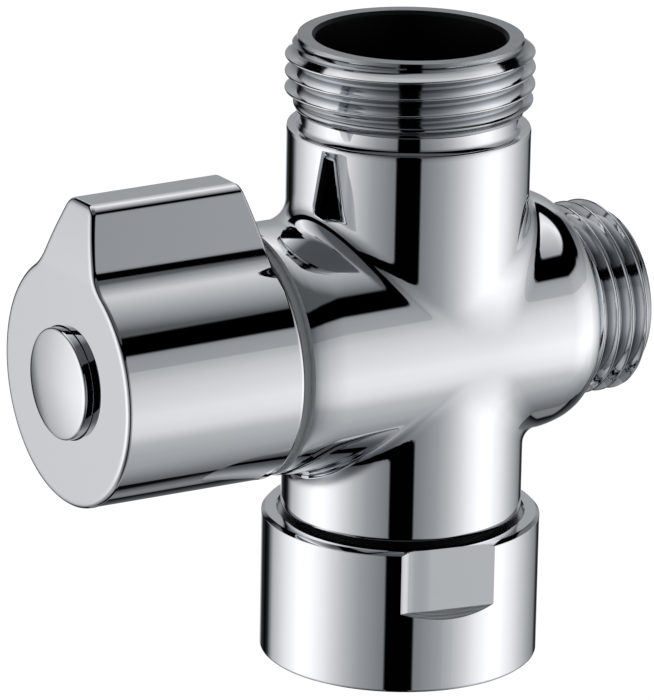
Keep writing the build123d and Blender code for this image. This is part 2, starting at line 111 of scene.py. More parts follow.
def add_node(
    tree: bpy.types.NodeTree,
    kind: str,
    settings: dict[str, object] | None = None,
    inputs: dict[str, object] | None = None,
    stops: Sequence[tuple[float, float | tuple[float, float, float, float]]] = (),
) -> bpy.types.Node:
    """Add a shader node, with its settings, its constants and its incoming links.

    Args:
        tree: The node tree of a material or the world.
        kind: The node's type name without its ShaderNode prefix.
        settings: Attributes to set on the node.
        inputs: For each input, by name or number, a constant, the output socket that feeds it, or
            a node whose first output feeds it.
        stops: Places of a colour ramp with their grey levels or colours.

    Returns:
        The new node.
    """
    node = tree.nodes.new("ShaderNode" + kind)
    for name, value in (settings or {}).items():
        setattr(node, name, value)
    for name, value in (inputs or {}).items():
        socket = node.inputs[int(name)] if name.isdigit() else node.inputs[name]
        if isinstance(value, bpy.types.Node):
            value = next(output for output in value.outputs if output.enabled)
        if isinstance(value, bpy.types.NodeSocket):
            tree.links.new(value, socket)
        else:
            socket.default_value = value
    for place, level in stops:
        colour = level if isinstance(level, tuple) else (level, level, level, 1.0)
        node.color_ramp.elements.new(place).color = colour
    if stops:
        node.color_ramp.elements.remove(node.color_ramp.elements[0])
        node.color_ramp.elements.remove(node.color_ramp.elements[-1])
    return node


def fresh_material(name: str) -> tuple[bpy.types.Material, bpy.types.NodeTree]:
    """Make an empty node material.

    Args:
        name: The material's name.

    Returns:
        The material and its cleared node tree.
    """
    material = bpy.data.materials.new(name)
    material.use_nodes = True
    material.node_tree.nodes.clear()
    return material, material.node_tree


@dataclass(frozen=True)
class PolishedChrome:
    """Bright nickel-chrome plate on a buffed casting.

    The buffing leaves a surface that is almost a mirror, with very shallow waves and a faint haze
    of some millimetres each, so reflections bend a little and never break up.
    """

    name: str
    colour: str = "#eef0f3"
    roughness: float = 0.02
    haze: float = 0.02
    haze_length: float = 6.0
    haze_range: tuple[float, float] = (0.35, 0.75)
    wave_length: float = 9.0
    wave_height: float = 0.0025

    def material(self) -> bpy.types.Material:
        """Build the plate's shader.

        Returns:
            The material.
        """
        material, tree = fresh_material(self.name)
        place = add_node(tree, "TexCoord").outputs["Object"]
        smear = add_node(
            tree,
            "TexNoise",
            inputs={"Vector": place, "Scale": 1 / (self.haze_length * MM), "Detail": 3.0},
        )
        rough = add_node(
            tree,
            "MapRange",
            inputs={
                "Value": smear.outputs["Fac"],
                "From Min": self.haze_range[0],
                "From Max": self.haze_range[1],
                "To Min": self.roughness,
                "To Max": self.roughness + self.haze,
            },
        )
        wave = add_node(
            tree,
            "TexNoise",
            inputs={"Vector": place, "Scale": 1 / (self.wave_length * MM), "Detail": 1.0},
        )
        bump = add_node(
            tree,
            "Bump",
            inputs={
                "Height": wave.outputs["Fac"],
                "Strength": 1.0,
                "Distance": self.wave_height * MM,
            },
        )
        shader = add_node(
            tree,
            "BsdfPrincipled",
            inputs={
                "Base Color": linear(self.colour),
                "Metallic": 1.0,
                "Roughness": rough,
                "Normal": bump,
            },
        )
        add_node(tree, "OutputMaterial", inputs={"Surface": shader})
        return material


@dataclass(frozen=True)
class TurnedMetal:
    """Metal straight from the lathe.

    The tool leaves fine rings about the turning axis, on round walls and on flat faces alike. They
    spread the shine a little across the cut, and the tone drifts slightly from place to place.
    """

    name: str
    colour: str
    dark: str
    roughness: float
    axis: Line
    ring_pitch: float = 0.3
    ring_depth: float = 0.004
    ring_wander: float = 0.8
    drift_length: float = 3.0
    gloss_change: float = 0.15

    def material(self) -> bpy.types.Material:
        """Build the turned finish.

        Its rings are wider apart than a real cutter's 0.1 mm, because those are too fine to show.

        Returns:
            The material.
        """
        material, tree = fresh_material(self.name)
        place = add_node(tree, "TexCoord").outputs["Object"]
        centred = add_node(
            tree, "Mapping", inputs={"Vector": place, "Location": -self.axis.foot() * MM}
        )
        direction = "X" if self.axis is Line.CROSS else "Z"
        waves = [
            add_node(
                tree,
                "TexWave",
                settings={"wave_type": kind, f"{kind.lower()}_direction": direction},
                inputs={
                    "Vector": centred,
                    "Scale": WAVE_LENGTH / (self.ring_pitch * MM),
                    "Distortion": self.ring_wander,
                    "Detail": 2.0,
                    "Detail Scale": 0.3,
                },
            )
            for kind in ("BANDS", "RINGS")
        ]
        cut = add_node(
            tree,
            "Math",
            settings={"operation": "ADD"},
            inputs={"0": waves[0].outputs["Fac"], "1": waves[1].outputs["Fac"]},
        )
        drift = add_node(
            tree,
            "TexNoise",
            inputs={"Vector": place, "Scale": 1 / (self.drift_length * MM), "Detail": 4.0},
        )
        colour = add_node(
            tree,
            "Mix",
            settings={"data_type": "RGBA"},
            inputs={
                "Factor": drift.outputs["Fac"],
                "6": linear(self.dark),
                "7": linear(self.colour),
            },
        )
        rough = add_node(
            tree,
            "MapRange",
            inputs={
                "Value": cut,
                "From Max": 2.0,
                "To Min": self.roughness * (1 - self.gloss_change),
                "To Max": self.roughness * (1 + self.gloss_change),
            },
        )
        bump = add_node(tree, "Bump", inputs={"Height": cut, "Distance": self.ring_depth * MM})
        shader = add_node(
            tree,
            "BsdfPrincipled",
            inputs={
                "Base Color": colour.outputs[2],
                "Metallic": 1.0,
                "Roughness": rough,
                "Normal": bump,
            },
        )
        add_node(tree, "OutputMaterial", inputs={"Surface": shader})
        return material


@dataclass(frozen=True)
class CutThreadPlate:
    """Chrome plate over a thread that was cut in brass.

    The colour darkens from the bright crest towards the root as painted shade in the grooves, where
    the plate is also thinner, and the cutter's fine marks still run along the flanks under it.
    """

    name: str
    axis: Line
    root_radius: float
    crest_radius: float
    crest_colour: str = "#eef0f3"
    # The root's colour is painted shade, darker than the crest's
    painted_root_shade: str = "#a6aaae"
    roughness: float = 0.07
    mark_pitch: float = 0.3
    mark_depth: float = 0.003
    mark_wander: float = 1.2

    def material(self) -> bpy.types.Material:
        """Build the thread's shader.

        Its marks are wider apart than a real cutter's 0.1 mm, because those are too fine to show.

        Returns:
            The material.
        """
        material, tree = fresh_material(self.name)
        place = add_node(tree, "TexCoord").outputs["Object"]
        cross = self.axis is Line.CROSS
        from_axis = add_node(
            tree,
            "Mapping",
            inputs={
                "Vector": place,
                "Location": -self.axis.foot() * MM,
                "Scale": (0.0, 1.0, 1.0) if cross else (1.0, 1.0, 0.0),
            },
        )
        reach = add_node(
            tree, "VectorMath", settings={"operation": "LENGTH"}, inputs={"0": from_axis}
        )
        height = add_node(
            tree,
            "MapRange",
            settings={"interpolation_type": "SMOOTHSTEP"},
            inputs={
                "Value": reach.outputs["Value"],
                "From Min": self.root_radius * MM,
                "From Max": self.crest_radius * MM,
            },
        )
        # Painted shade: the colour darkens with the radius from the crest down to the root
        colour = add_node(
            tree,
            "Mix",
            settings={"data_type": "RGBA"},
            inputs={
                "Factor": height,
                "6": linear(self.painted_root_shade),
                "7": linear(self.crest_colour),
            },
        )
        marks = add_node(
            tree,
            "TexWave",
            settings={"wave_type": "BANDS", "bands_direction": "X" if cross else "Z"},
            inputs={
                "Vector": place,
                "Scale": WAVE_LENGTH / (self.mark_pitch * MM),
                "Distortion": self.mark_wander,
                "Detail": 2.0,
                "Detail Scale": 0.4,
            },
        )
        bump = add_node(
            tree,
            "Bump",
            inputs={"Height": marks.outputs["Fac"], "Distance": self.mark_depth * MM},
        )
        shader = add_node(
            tree,
            "BsdfPrincipled",
            inputs={
                "Base Color": colour.outputs[2],
                "Metallic": 1.0,
                "Roughness": self.roughness,
                "Normal": bump,
            },
        )
        add_node(tree, "OutputMaterial", inputs={"Surface": shader})
        return material


@dataclass(frozen=True)
class DryBody:
    """A dense body without a metal's shine, such as rubber, plastic, ceramic or blasted metal.

    Its surface takes the grain of its mould, its firing or the blasting, so it scatters light
    evenly and shows only a soft shine, and its tone changes a little from place to place.
    """

    name: str
    colour: str
    fleck: str
    roughness: float
    grain: float
    grain_depth: float
    tone_length: float = 2.5
    ior: float = 1.5

    def material(self) -> bpy.types.Material:
        """Build the body with its grain and a slight change of tone.

        Returns:
            The material.
        """
        material, tree = fresh_material(self.name)
        place = add_node(tree, "TexCoord").outputs["Object"]
        tone = add_node(
            tree,
            "TexNoise",
            inputs={"Vector": place, "Scale": 1 / (self.tone_length * MM), "Detail": 5.0},
        )
        grain = add_node(
            tree,
            "TexNoise",
            inputs={"Vector": place, "Scale": 1 / (self.grain * MM), "Detail": 2.0},
        )
        colour = add_node(
            tree,
            "Mix",
            settings={"data_type": "RGBA"},
            inputs={
                "Factor": tone.outputs["Fac"],
                "6": linear(self.colour),
                "7": linear(self.fleck),
            },
        )
        bump = add_node(
            tree,
            "Bump",
            inputs={"Height": grain.outputs["Fac"], "Distance": self.grain_depth * MM},
        )
        shader = add_node(
            tree,
            "BsdfPrincipled",
            inputs={
                "Base Color": colour.outputs[2],
                "Roughness": self.roughness,
                "IOR": self.ior,
                "Normal": bump,
            },
        )
        add_node(tree, "OutputMaterial", inputs={"Surface": shader})
        return material


class Finish(Enum):
    """The finishes that one piece can carry, as places in its list of materials."""

    PLATE = 0
    TURNED = 1
    # The inside's finish is painted dark, as the shade inside each piece
    INSIDE = 2
    COLLAR = 3


def picked(parts: Iterable[object], kind: type) -> list:
    """Pick the vertices, edges or faces out of an operator's result."""
    return [part for part in parts if isinstance(part, kind)]


def paint(parts: Iterable[object], finish: Finish) -> None:
    """Give a finish to every face among some parts of a mesh."""
    for face in picked(parts, bmesh.types.BMFace):
        face.material_index = finish.value


def rotated(points: Sequence[tuple[float, float]], line: Line) -> list[Vector]:
    """Place profile points on the -Y side of a line.

    Args:
        points: Places along the axis and radii, in millimetres.
        line: The axis that the profile belongs to.

    Returns:
        The points in the CAD frame.
    """
    along = Vector(line.value)
    return [line.foot() + along * place + Vector((0.0, -radius, 0.0)) for place, radius in points]


def new_piece(
    maker: bmesh.types.BMesh,
    name: str,
    carrier: Carrier,
    materials: Sequence[bpy.types.Material],
    sharp_angle: float = 30.0,
) -> bpy.types.Object:
    """Write a finished bmesh, in millimetres, as a piece of the model.

    Args:
        maker: The bmesh, which is freed.
        name: The piece's name.
        carrier: The body that the piece rides on.
        materials: The finishes, in the order of Finish.
        sharp_angle: Edges that turn by more than this many degrees stay crisp.

    Returns:
        The new object.
    """
    bmesh.ops.scale(maker, vec=(MM, MM, MM), verts=maker.verts)
    mesh = bpy.data.meshes.new(name)
    maker.to_mesh(mesh)
    maker.free()
    mesh.shade_smooth()
    mesh.set_sharp_from_angle(angle=math.radians(sharp_angle))
    for material in materials:
        mesh.materials.append(material)
    piece = bpy.data.objects.new(name, mesh)
    bpy.context.scene.collection.objects.link(piece)
    flattening = piece.modifiers.new("flat faces stay flat", "WEIGHTED_NORMAL")
    flattening.keep_sharp = True
    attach(piece, carrier.value)
    LOG.info("%s: %d faces", name, len(mesh.polygons))
    return piece


def add_wire(
    maker: bmesh.types.BMesh, points: Iterable[Vector]
) -> list[bmesh.types.BMVert | bmesh.types.BMEdge]:
    """Add a chain of vertices and edges.

    Args:
        maker: The bmesh to add to.
        points: The chain's points in order.

    Returns:
        The chain's vertices and edges, as spin takes them.
    """
    chain = [maker.verts.new(point) for point in points]
    edges = [maker.edges.new(pair) for pair in zip(chain, chain[1:])]
    return chain + edges


def turn_profile(
    maker: bmesh.types.BMesh,
    points: Sequence[tuple[float, float]],
    line: Line,
    steps: int,
    finish: Finish = Finish.PLATE,
) -> None:
    """Turn a profile into a closed surface of revolution.

    Args:
        maker: The bmesh to add to.
        points: Places along the axis and radii.
        line: The axis of revolution.
        steps: Segments in the whole turn.
        finish: The finish of the new faces.
    """
    wire = add_wire(maker, rotated(points, line))
    known = set(maker.faces)
    bmesh.ops.spin(
        maker,
        geom=wire,
        cent=line.foot(),
        axis=line.value,
        angle=math.tau,
        steps=steps,
        use_merge=True,
    )
    bmesh.ops.remove_doubles(maker, verts=maker.verts, dist=1e-5)
    paint((face for face in maker.faces if face not in known), finish)


def grow(
    maker: bmesh.types.BMesh, edges: list[bmesh.types.BMEdge], finish: Finish
) -> tuple[list[bmesh.types.BMEdge], list[bmesh.types.BMVert]]:
    """Extrude open edges by one row of faces.

    Args:
        maker: The bmesh.
        edges: The open edges.
        finish: The finish of the new faces.

    Returns:
        The new open edges and their vertices, which still lie on the old ones.
    """
    grown = bmesh.ops.extrude_edge_only(maker, edges=edges)["geom"]
    paint(grown, finish)
    return picked(grown, bmesh.types.BMEdge), picked(grown, bmesh.types.BMVert)


def round_rows(
    maker: bmesh.types.BMesh,
    edges: list[bmesh.types.BMEdge],
    line: Line,
    rings: Sequence[tuple[float, float]],
    finish: Finish,
    foot: Vector | None = None,
) -> list[bmesh.types.BMEdge]:
    """Carry a round open edge on through a row of rings about its axis.

    Args:
        maker: The bmesh.
        edges: The open edges of one round mouth.
        line: The mouth's axis.
        rings: Places along the axis and radii; a radius of zero closes the surface.
        finish: The finish of the new faces.
        foot: A point on the axis, if the piece isn't drawn in its place.

    Returns:
        The open edges of the last ring.
    """
    along = Vector(line.value)
    origin = line.foot() if foot is None else foot
    for place, radius in rings:
        edges, verts = grow(maker, edges, finish)
        for vertex in verts:
            arm = vertex.co - origin
            arm -= along * arm.dot(along)
            vertex.co = origin + along * place + arm.normalized() * radius
    return edges


def port(
    maker: bmesh.types.BMesh,
    edges: list[bmesh.types.BMEdge],
    line: Line,
    centre: Vector,
    radius: float,
    depth: float,
    steps: int = 48,
) -> None:
    """Close a bore with a flat floor that has a round waterway in it.

    Args:
        maker: The bmesh.
        edges: The bore's open edge at its floor.
        line: The bore's axis.
        centre: The waterway's centre in the floor.
        radius: The waterway's radius.
        depth: How far the waterway runs on, along the axis.
        steps: Segments in the waterway.
    """
    turn = Matrix.Rotation(math.pi / 2, 4, "Y") if line is Line.CROSS else Matrix.Identity(4)
    circle = bmesh.ops.create_circle(
        maker, segments=steps, radius=radius, matrix=Matrix.Translation(centre) @ turn
    )["verts"]
    rim = list({edge for vertex in circle for edge in vertex.link_edges})
    floor = bmesh.ops.triangle_fill(maker, edges=edges + rim, use_beauty=True)["geom"]
    paint(floor, Finish.INSIDE)
    inner, verts = grow(maker, rim, Finish.INSIDE)
    bmesh.ops.translate(maker, vec=Vector(line.value) * depth, verts=verts)
    paint(bmesh.ops.contextual_create(maker, geom=inner)["faces"], Finish.INSIDE)


@dataclass
class Crossing:
    """The outside of the casting: a tube and a cross stem that melt into each other.

    The surface is the union of the two round stems with a fillet along the crease. On the boss's
    side the fillet keeps one radius, so it is narrow where the stems meet at a shallow angle. On
    the arm's side it keeps its width there, and it fades out at the front and back.
    """

    tube_radius: float = 12.95
    boss_radius: float = 13.5
    boss_face: float = -19.3
    arm_end: float = 17.3
    boss_blend: float = 2.6
    arm_blend: float = 1.35
    arm_blend_growth: float = 1.8
    widest_blend: float = 40.0
    closest: float = 0.9995
    side_change: float = 8.0
    face_ease: float = 4.2
    face_drop: float = 0.5
    taper_start: float = 3.0
    taper: float = 0.0024
    arm_ease: float = 4.2
    arm_drop: float = 1.35

    def stem_radius(self, x: np.ndarray) -> np.ndarray:
        """Radius of the cross stem, rounded off towards both its ends.

        Args:
            x: Places along the stem.

        Returns:
            The radius at each place.
        """
        taper = self.boss_radius - self.taper * np.maximum(x - self.taper_start, 0) ** 2
        near = np.clip((self.boss_face + self.face_ease - x) / self.face_ease, 0, 1)
        far = np.clip((x - self.arm_end + self.arm_ease) / self.arm_ease, 0, 1)
        boss_drop = self.face_drop * (1 - np.sqrt(1 - near**2))
        return taper - boss_drop - self.arm_drop * (1 - np.sqrt(1 - far**2))

    def distance(self, points: np.ndarray) -> np.ndarray:
        """Signed distance to the blended surface.

        Args:
            points: An array of points, one per row, in millimetres.

        Returns:
            The distance of each point, below zero inside.
        """
        x, y, z = points.T
        rise = z - AXIS_HEIGHT
        tube_reach = np.hypot(x, y) + TINY
        stem_reach = np.hypot(y, rise) + TINY
        tube_gap = tube_reach - self.tube_radius
        stem_gap = stem_reach - self.stem_radius(x)
        closeness = np.clip(y * y / (tube_reach * stem_reach), 0.0, self.closest)
        half_tangent = np.sqrt((1 - closeness) / (1 + closeness))
        width = self.arm_blend + self.arm_blend_growth * closeness**2
        wide = np.minimum(width / half_tangent, self.widest_blend)
        arm_share = np.clip(0.5 + x / self.side_change, 0.0, 1.0)
        arm_share = arm_share * arm_share * (3 - 2 * arm_share)
        blend = self.boss_blend + (wide - self.boss_blend) * arm_share
        lean = 1 - closeness**2
        from_tube = (blend - tube_gap - closeness * (blend - stem_gap)) / lean
        from_stem = (blend - stem_gap - closeness * (blend - tube_gap)) / lean
        inside = (from_tube > 0) & (from_stem > 0)
        reach = np.sqrt(
            np.maximum(from_tube**2 + from_stem**2 + 2 * closeness * from_tube * from_stem, 0)
        )
        return np.where(inside, blend - reach, np.minimum(tube_gap, stem_gap))

    def gradient(self, points: np.ndarray, step: float = 0.01) -> np.ndarray:
        """Direction in which the distance grows.

        Args:
            points: Points in millimetres.
            step: How far to either side the distance is read.

        Returns:
            The unit direction at each point.
        """
        slopes = []
        for axis in range(3):
            offset = np.zeros(3)
            offset[axis] = step
            slopes.append(self.distance(points + offset) - self.distance(points - offset))
        slope = np.stack(slopes, axis=1) / (2 * step)
        return slope / np.maximum(np.linalg.norm(slope, axis=1, keepdims=True), TINY)

    def settle(self, points: np.ndarray, rounds: int = 12) -> np.ndarray:
        """Move points on to the blended surface.

        Args:
            points: Points near the surface.
            rounds: How many steps the points take.

        Returns:
            The moved points.
        """
        for _ in range(rounds):
            points = points - self.gradient(points) * self.distance(points)[:, None]
        return points


@dataclass
class PipeThread:
    """A real helical pipe thread of V form, cut to a cone at its mouth and fading at its root."""

    axis: Line
    start: float
    end: float
    crest_radius: float
    mouth_radius: float
    land: float
    cone: float
    depth: float = 1.16
    pitch: float = 1.814
    steps: int = 160
    fade: float = 1.6
    root_share: float = 0.07
    crest_share: float = 0.08
    crest_flat: float = 0.6
    crest_drop: float = 0.14
    crest_ease: float = 0.04
    flank_cuts: int = 5
    tuck: float = 0.4
    tuck_reach: float = 0.02

    def build(self, maker: bmesh.types.BMesh) -> None:
        """Wind one turn, repeat it along the axis, trim the thread and close its ends.

        Args:
            maker: The thread's empty bmesh.
        """
        along = Vector(self.axis.value)
        first = self.start - 2 * self.pitch
        points = [(first + share * self.pitch, radius) for share, radius in self._section()]
        bmesh.ops.spin(
            maker,
            geom=add_wire(maker, rotated(points, self.axis)),
            cent=self.axis.foot(),
            axis=self.axis.value,
            dvec=along * (self.pitch / self.steps),
            angle=math.tau,
            steps=self.steps,
        )
        winding = maker.verts[:] + maker.edges[:] + maker.faces[:]
        for turn in range(1, math.ceil((self.end - first) / self.pitch) + 1):
            copied = bmesh.ops.duplicate(maker, geom=winding)["geom"]
            verts = picked(copied, bmesh.types.BMVert)
            bmesh.ops.translate(maker, vec=along * (self.pitch * turn), verts=verts)
        bmesh.ops.remove_doubles(maker, verts=maker.verts, dist=1e-3)
        for place, outward in ((self.start, -1), (self.end, 1)):
            geometry = maker.verts[:] + maker.edges[:] + maker.faces[:]
            bmesh.ops.bisect_plane(
                maker,
                geom=geometry,
                plane_co=along * place,
                plane_no=along * outward,
                clear_outer=True,
            )
        self._run_out(maker)
        self._close(maker)

    def _section(self) -> list[tuple[float, float]]:
        """Draw one pitch of the thread's section, from root to root.

        Returns:
            Shares of the pitch with radii: half the root, the flank, the rounded crest and the
            mirror image of them.
        """
        root = self.crest_radius - self.depth
        crest_start = 0.5 - self.crest_share
        half = [(0.0, root)]
        for cut in range(self.flank_cuts + 1):
            share = cut / self.flank_cuts
            place = self.root_share + (crest_start - self.root_share) * share
            half.append((place, root + (self.depth - self.crest_drop) * share))
        half.append((0.5 - self.crest_share * self.crest_flat, self.crest_radius - self.crest_ease))
        mirrored = [(1 - place, radius) for place, radius in reversed(half)]
        return half + [(0.5, self.crest_radius)] + mirrored

    def _run_out(self, maker: bmesh.types.BMesh) -> None:
        """Let the ridge die away at its start and cut it to the cone at its mouth.

        Args:
            maker: The thread's bmesh.
        """
        along = Vector(self.axis.value)
        origin = self.axis.foot()
        root = self.crest_radius - self.depth
        slope = (self.crest_radius - self.mouth_radius) / self.cone
        for vertex in maker.verts:
            place = (vertex.co - origin).dot(along)
            arm = vertex.co - origin - along * place
            share = min(max((place - self.start) / self.fade, 0.0), 1.0)
            faded = root + (arm.length - root) * share * share * (3 - 2 * share)
            fall = max(self.end - self.land - place, 0.0)
            wanted = min(faded, self.mouth_radius + fall * slope)
            vertex.co += arm * (wanted / arm.length - 1)

    def _close(self, maker: bmesh.types.BMesh) -> None:
        """Turn both open ends in under the neck's surface.

        Args:
            maker: The thread's bmesh.
        """
        axis = self.axis.place
        open_edges = [edge for edge in maker.edges if edge.is_boundary]
        middle = (self.start + self.end) / 2
        for place, sign in ((self.start, -1), (self.end, 1)):
            mouth = [
                edge
                for edge in open_edges
                if (edge.verts[0].co[axis] - middle) * sign > 0
                and (edge.verts[1].co[axis] - middle) * sign > 0
            ]
            radius = min(self.crest_radius - self.depth, self.mouth_radius) - self.tuck
            rings = [(place - self.tuck_reach * sign, radius)]
            round_rows(maker, mouth, self.axis, rings, Finish.PLATE)


@dataclass
class CastBody:
    """The chromed brass casting with its two threaded outlets and the spigot in the nut."""

    crossing: Crossing
    tube_bottom: float = 16.2
    broken_edge: float = 0.25
    tube_edge: Rings = ((0.07, 12.88), (0.0, 12.70))
    shoulder: float = 58.5
    shoulder_groove: Rings = ((0.0, 12.25), (-0.12, 12.20), (-0.12, 11.95), (0.15, 11.75))
    neck: float = 11.6
    neck_start: float = 59.0
    neck_end: float = 60.1
    core: float = 11.98
    core_start: float = 60.4
    rim: float = 68.2
    rim_chamfer: float = 0.6
    rim_radius: float = 11.80
    rim_inner: float = 10.41
    top_bore: float = 10.1
    top_bore_chamfer: float = 0.39
    top_floor: float = 51.2
    top_thread_start: float = 60.3
    riser: float = 6.8
    riser_depth: float = 8.0
    passage_radius: float = 3.1
    side_face: float = 11.45
    side_neck: float = 9.1
    side_neck_end: float = 17.9
    side_core: float = 9.24
    side_core_start: float = 18.0
    side_end: float = 25.6
    side_chamfer: float = 0.3
    side_rim_inner: float = 7.75
    side_bore: float = 7.4
    side_bore_chamfer: float = 0.35
    side_floor: float = 11.3
    side_passage_drop: float = 4.15
    side_passage_depth: float = 3.0
    inlet_bore: float = 8.5
    inlet_bore_chamfer: float = 0.2
    inlet_floor: float = 23.0
    inlet_port: float = -4.6
    inlet_port_radius: float = 3.8
    inlet_port_depth: float = 2.5
    spigot: float = 11.3
    spigot_end: float = 9.2
    spigot_chamfer: float = 0.3
    groove: tuple[float, float] = (11.4, 10.1)
    groove_radius: float = 10.3
    boss_edge: Rings = ((0.06, 13.08), (0.0, 12.98))
    collar_radius: float = 12.72
    collar_length: float = 0.8
    collar_inner: float = 11.5
    mouth_radius: float = 11.2
    mouth_depth: float = 5.0
    chamber_radius: float = 10.0
    seat: float = 2.0
    arm_rim: float = 1.6
    arm_rim_shares: tuple[float, ...] = (0.8, 0.6, 0.42, 0.27, 0.15, 0.06, 0)
    around: int = 48
    along: int = 44
    along_power: float = 1.25
    cage_slack: float = 0.001
    kept_rings: float = 1.9

    def build(
        self, finishes: Sequence[bpy.types.Material], plates: dict[str, bpy.types.Material]
    ) -> list[bpy.types.Object]:
        """Build the casting's outside, its ends and its threads.

        Args:
            finishes: The plate, the blasted collar, the bores and the rims, in Finish's order.
            plates: The plate on each cut thread, by the thread's name.

        Returns:
            The pieces that were made.
        """
        maker = bmesh.new()
        self._cage(maker)
        self._wrap(maker)
        self._ends(maker)
        bmesh.ops.remove_doubles(maker, verts=maker.verts, dist=CLOSE)
        bmesh.ops.recalc_face_normals(maker, faces=maker.faces)
        casting = new_piece(maker, "casting", Carrier.VALVE, finishes)
        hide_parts("body")
        pieces = [casting]
        for name, thread in self.threads().items():
            maker = bmesh.new()
            thread.build(maker)
            bmesh.ops.recalc_face_normals(maker, faces=maker.faces)
            pieces.append(
                new_piece(maker, name, Carrier.VALVE, [plates[name]], 55.0)
            )
        return pieces

    def threads(self) -> dict[str, PipeThread]:
        """Size the two outlet threads.

        Returns:
            The 3/4 inch thread on top and the 1/2 inch thread at the side, by name.
        """
        top = PipeThread(
            axis=Line.TUBE,
            start=self.top_thread_start,
            end=self.rim,
            crest_radius=13.22,
            mouth_radius=11.92,
            land=0.45,
            cone=0.95,
        )
        side = PipeThread(
            axis=Line.CROSS,
            start=self.side_neck_end,
            end=self.side_end,
            crest_radius=10.48,
            mouth_radius=9.25,
            land=0.3,
            cone=0.8,
            fade=0.8,
        )
        return {"top_thread": top, "side_thread": side}

    def _cage(self, maker: bmesh.types.BMesh) -> None:
        """Make a cross of square stems, cut into an even grid.

        Args:
            maker: The casting's empty bmesh.
        """
        bmesh.ops.create_cube(maker, size=2.0)
        sides = [face for face in maker.faces if abs(face.normal.y) < 0.5]
        ends = bmesh.ops.extrude_discrete_faces(maker, faces=sides)["faces"]
        for face in ends:
            bmesh.ops.translate(maker, vec=face.normal, verts=face.verts)
        bmesh.ops.delete(maker, geom=ends, context="FACES_ONLY")

        def runs_along(edge: bmesh.types.BMEdge) -> bool:
            """Whether the edge leads from the middle to a stem's end."""
            near, far = (max(abs(c) for c in vertex.co) for vertex in edge.verts)
            return abs(near - far) > 0.5

        for lengthwise, parts in ((False, self.around), (True, self.along)):
            edges = [edge for edge in maker.edges if runs_along(edge) is lengthwise]
            bmesh.ops.subdivide_edges(maker, edges=edges, cuts=parts - 1, use_grid_fill=True)

    def _wrap(self, maker: bmesh.types.BMesh) -> None:
        """Wrap the cage round the two stems and settle it on the blended surface.

        The cage's middle is a cube of half side 1 and each stem of it ends at 2.

        Args:
            maker: The bmesh that holds the cage.
        """
        shape = self.crossing
        radius = shape.tube_radius
        cage = np.array([vertex.co[:] for vertex in maker.verts])
        at_side = np.abs(cage) > 1 - self.cage_slack
        turn = np.clip(cage, -1, 1) * (math.pi / 4)
        placed = radius * np.sin(turn)
        crease = radius * np.cos(turn[:, 1])
        corner = radius * math.sin(math.pi / 4)
        ends = {
            (2, 1): self.shoulder - self.broken_edge - AXIS_HEIGHT,
            (2, -1): self.tube_bottom + self.broken_edge - AXIS_HEIGHT,
            (0, 1): shape.arm_end - self.arm_rim,
            (0, -1): shape.boss_face + self.broken_edge,
        }
        for (axis, sign), end in ends.items():
            other = 2 - axis
            reach = cage[:, axis] * sign
            on_stem = (reach > 1 - self.cage_slack) & (np.abs(cage[:, other]) < 1 + self.cage_slack)
            share = np.clip(reach - 1, 0, 1) ** self.along_power
            begin = np.where(at_side[:, other], crease, corner)
            spread = sign * (begin + (abs(end) - begin) * share)
            placed[on_stem, axis] = spread[on_stem]
            flank = on_stem & at_side[:, other]
            placed[flank, other] = np.sign(cage[flank, other]) * crease[flank]
            front = on_stem & at_side[:, 1]
            placed[front, 1] = np.sign(cage[front, 1]) * radius * np.cos(turn[front, other])
        middle = at_side[:, 1] & ~at_side[:, 0] & ~at_side[:, 2]
        nearer = np.minimum(np.abs(placed[:, 0]), np.abs(placed[:, 2]))
        depth = np.sqrt(radius**2 - np.minimum(nearer, radius) ** 2)
        placed[middle, 1] = np.sign(cage[middle, 1]) * depth[middle]
        placed[:, 2] += AXIS_HEIGHT
        settled = shape.settle(placed)
        for axis in (2, 0):
            keep = np.abs(cage[:, axis]) > self.kept_rings
            settled[keep, axis] = placed[keep, axis]
        for vertex, place in zip(maker.verts, settled):
            vertex.co = place

    def _ends(self, maker: bmesh.types.BMesh) -> None:
        """Carry each open end on through its chamfers, shoulders and bores.

        Args:
            maker: The casting's bmesh.
        """
        self._top(maker)
        self._bottom(maker)
        self._side(maker)
        self._boss(maker)

    def _row(
        self,
        maker: bmesh.types.BMesh,
        line: Line,
        sign: int,
        rows: Sequence[tuple[Finish, Rings]],
    ) -> list[bmesh.types.BMEdge]:
        """Carry one end of a stem on through several rows of rings.

        Args:
            maker: The casting's bmesh.
            line: The stem's axis.
            sign: Which end of the stem.
            rows: The rings with their finishes, in order.

        Returns:
            The open edges of the last ring.
        """
        edges = self._mouth(maker, line, sign)
        for finish, rings in rows:
            edges = round_rows(maker, edges, line, rings, finish)
        return edges

    def _top(self, maker: bmesh.types.BMesh) -> None:
        """The shoulder, the neck under the thread, the rim and the top bore.

        Args:
            maker: The casting's bmesh.
        """
        outside = [
            *((self.shoulder - drop, radius) for drop, radius in self.tube_edge),
            *((self.shoulder + rise, radius) for rise, radius in self.shoulder_groove),
            (self.neck_start, self.neck),
            (self.neck_end, self.neck),
            (self.core_start, self.core),
            (self.rim - self.rim_chamfer, self.core),
            (self.rim, self.rim_radius),
        ]
        flat = [(self.rim, self.rim_inner)]
        bore = [
            (self.rim - self.top_bore_chamfer, self.top_bore),
            (self.top_floor, self.top_bore),
        ]
        rows = ((Finish.PLATE, outside), (Finish.TURNED, flat), (Finish.INSIDE, bore))
        edges = self._row(maker, Line.TUBE, 1, rows)
        centre = Vector((self.riser, 0.0, self.top_floor))
        port(maker, edges, Line.TUBE, centre, self.passage_radius, -self.riser_depth)

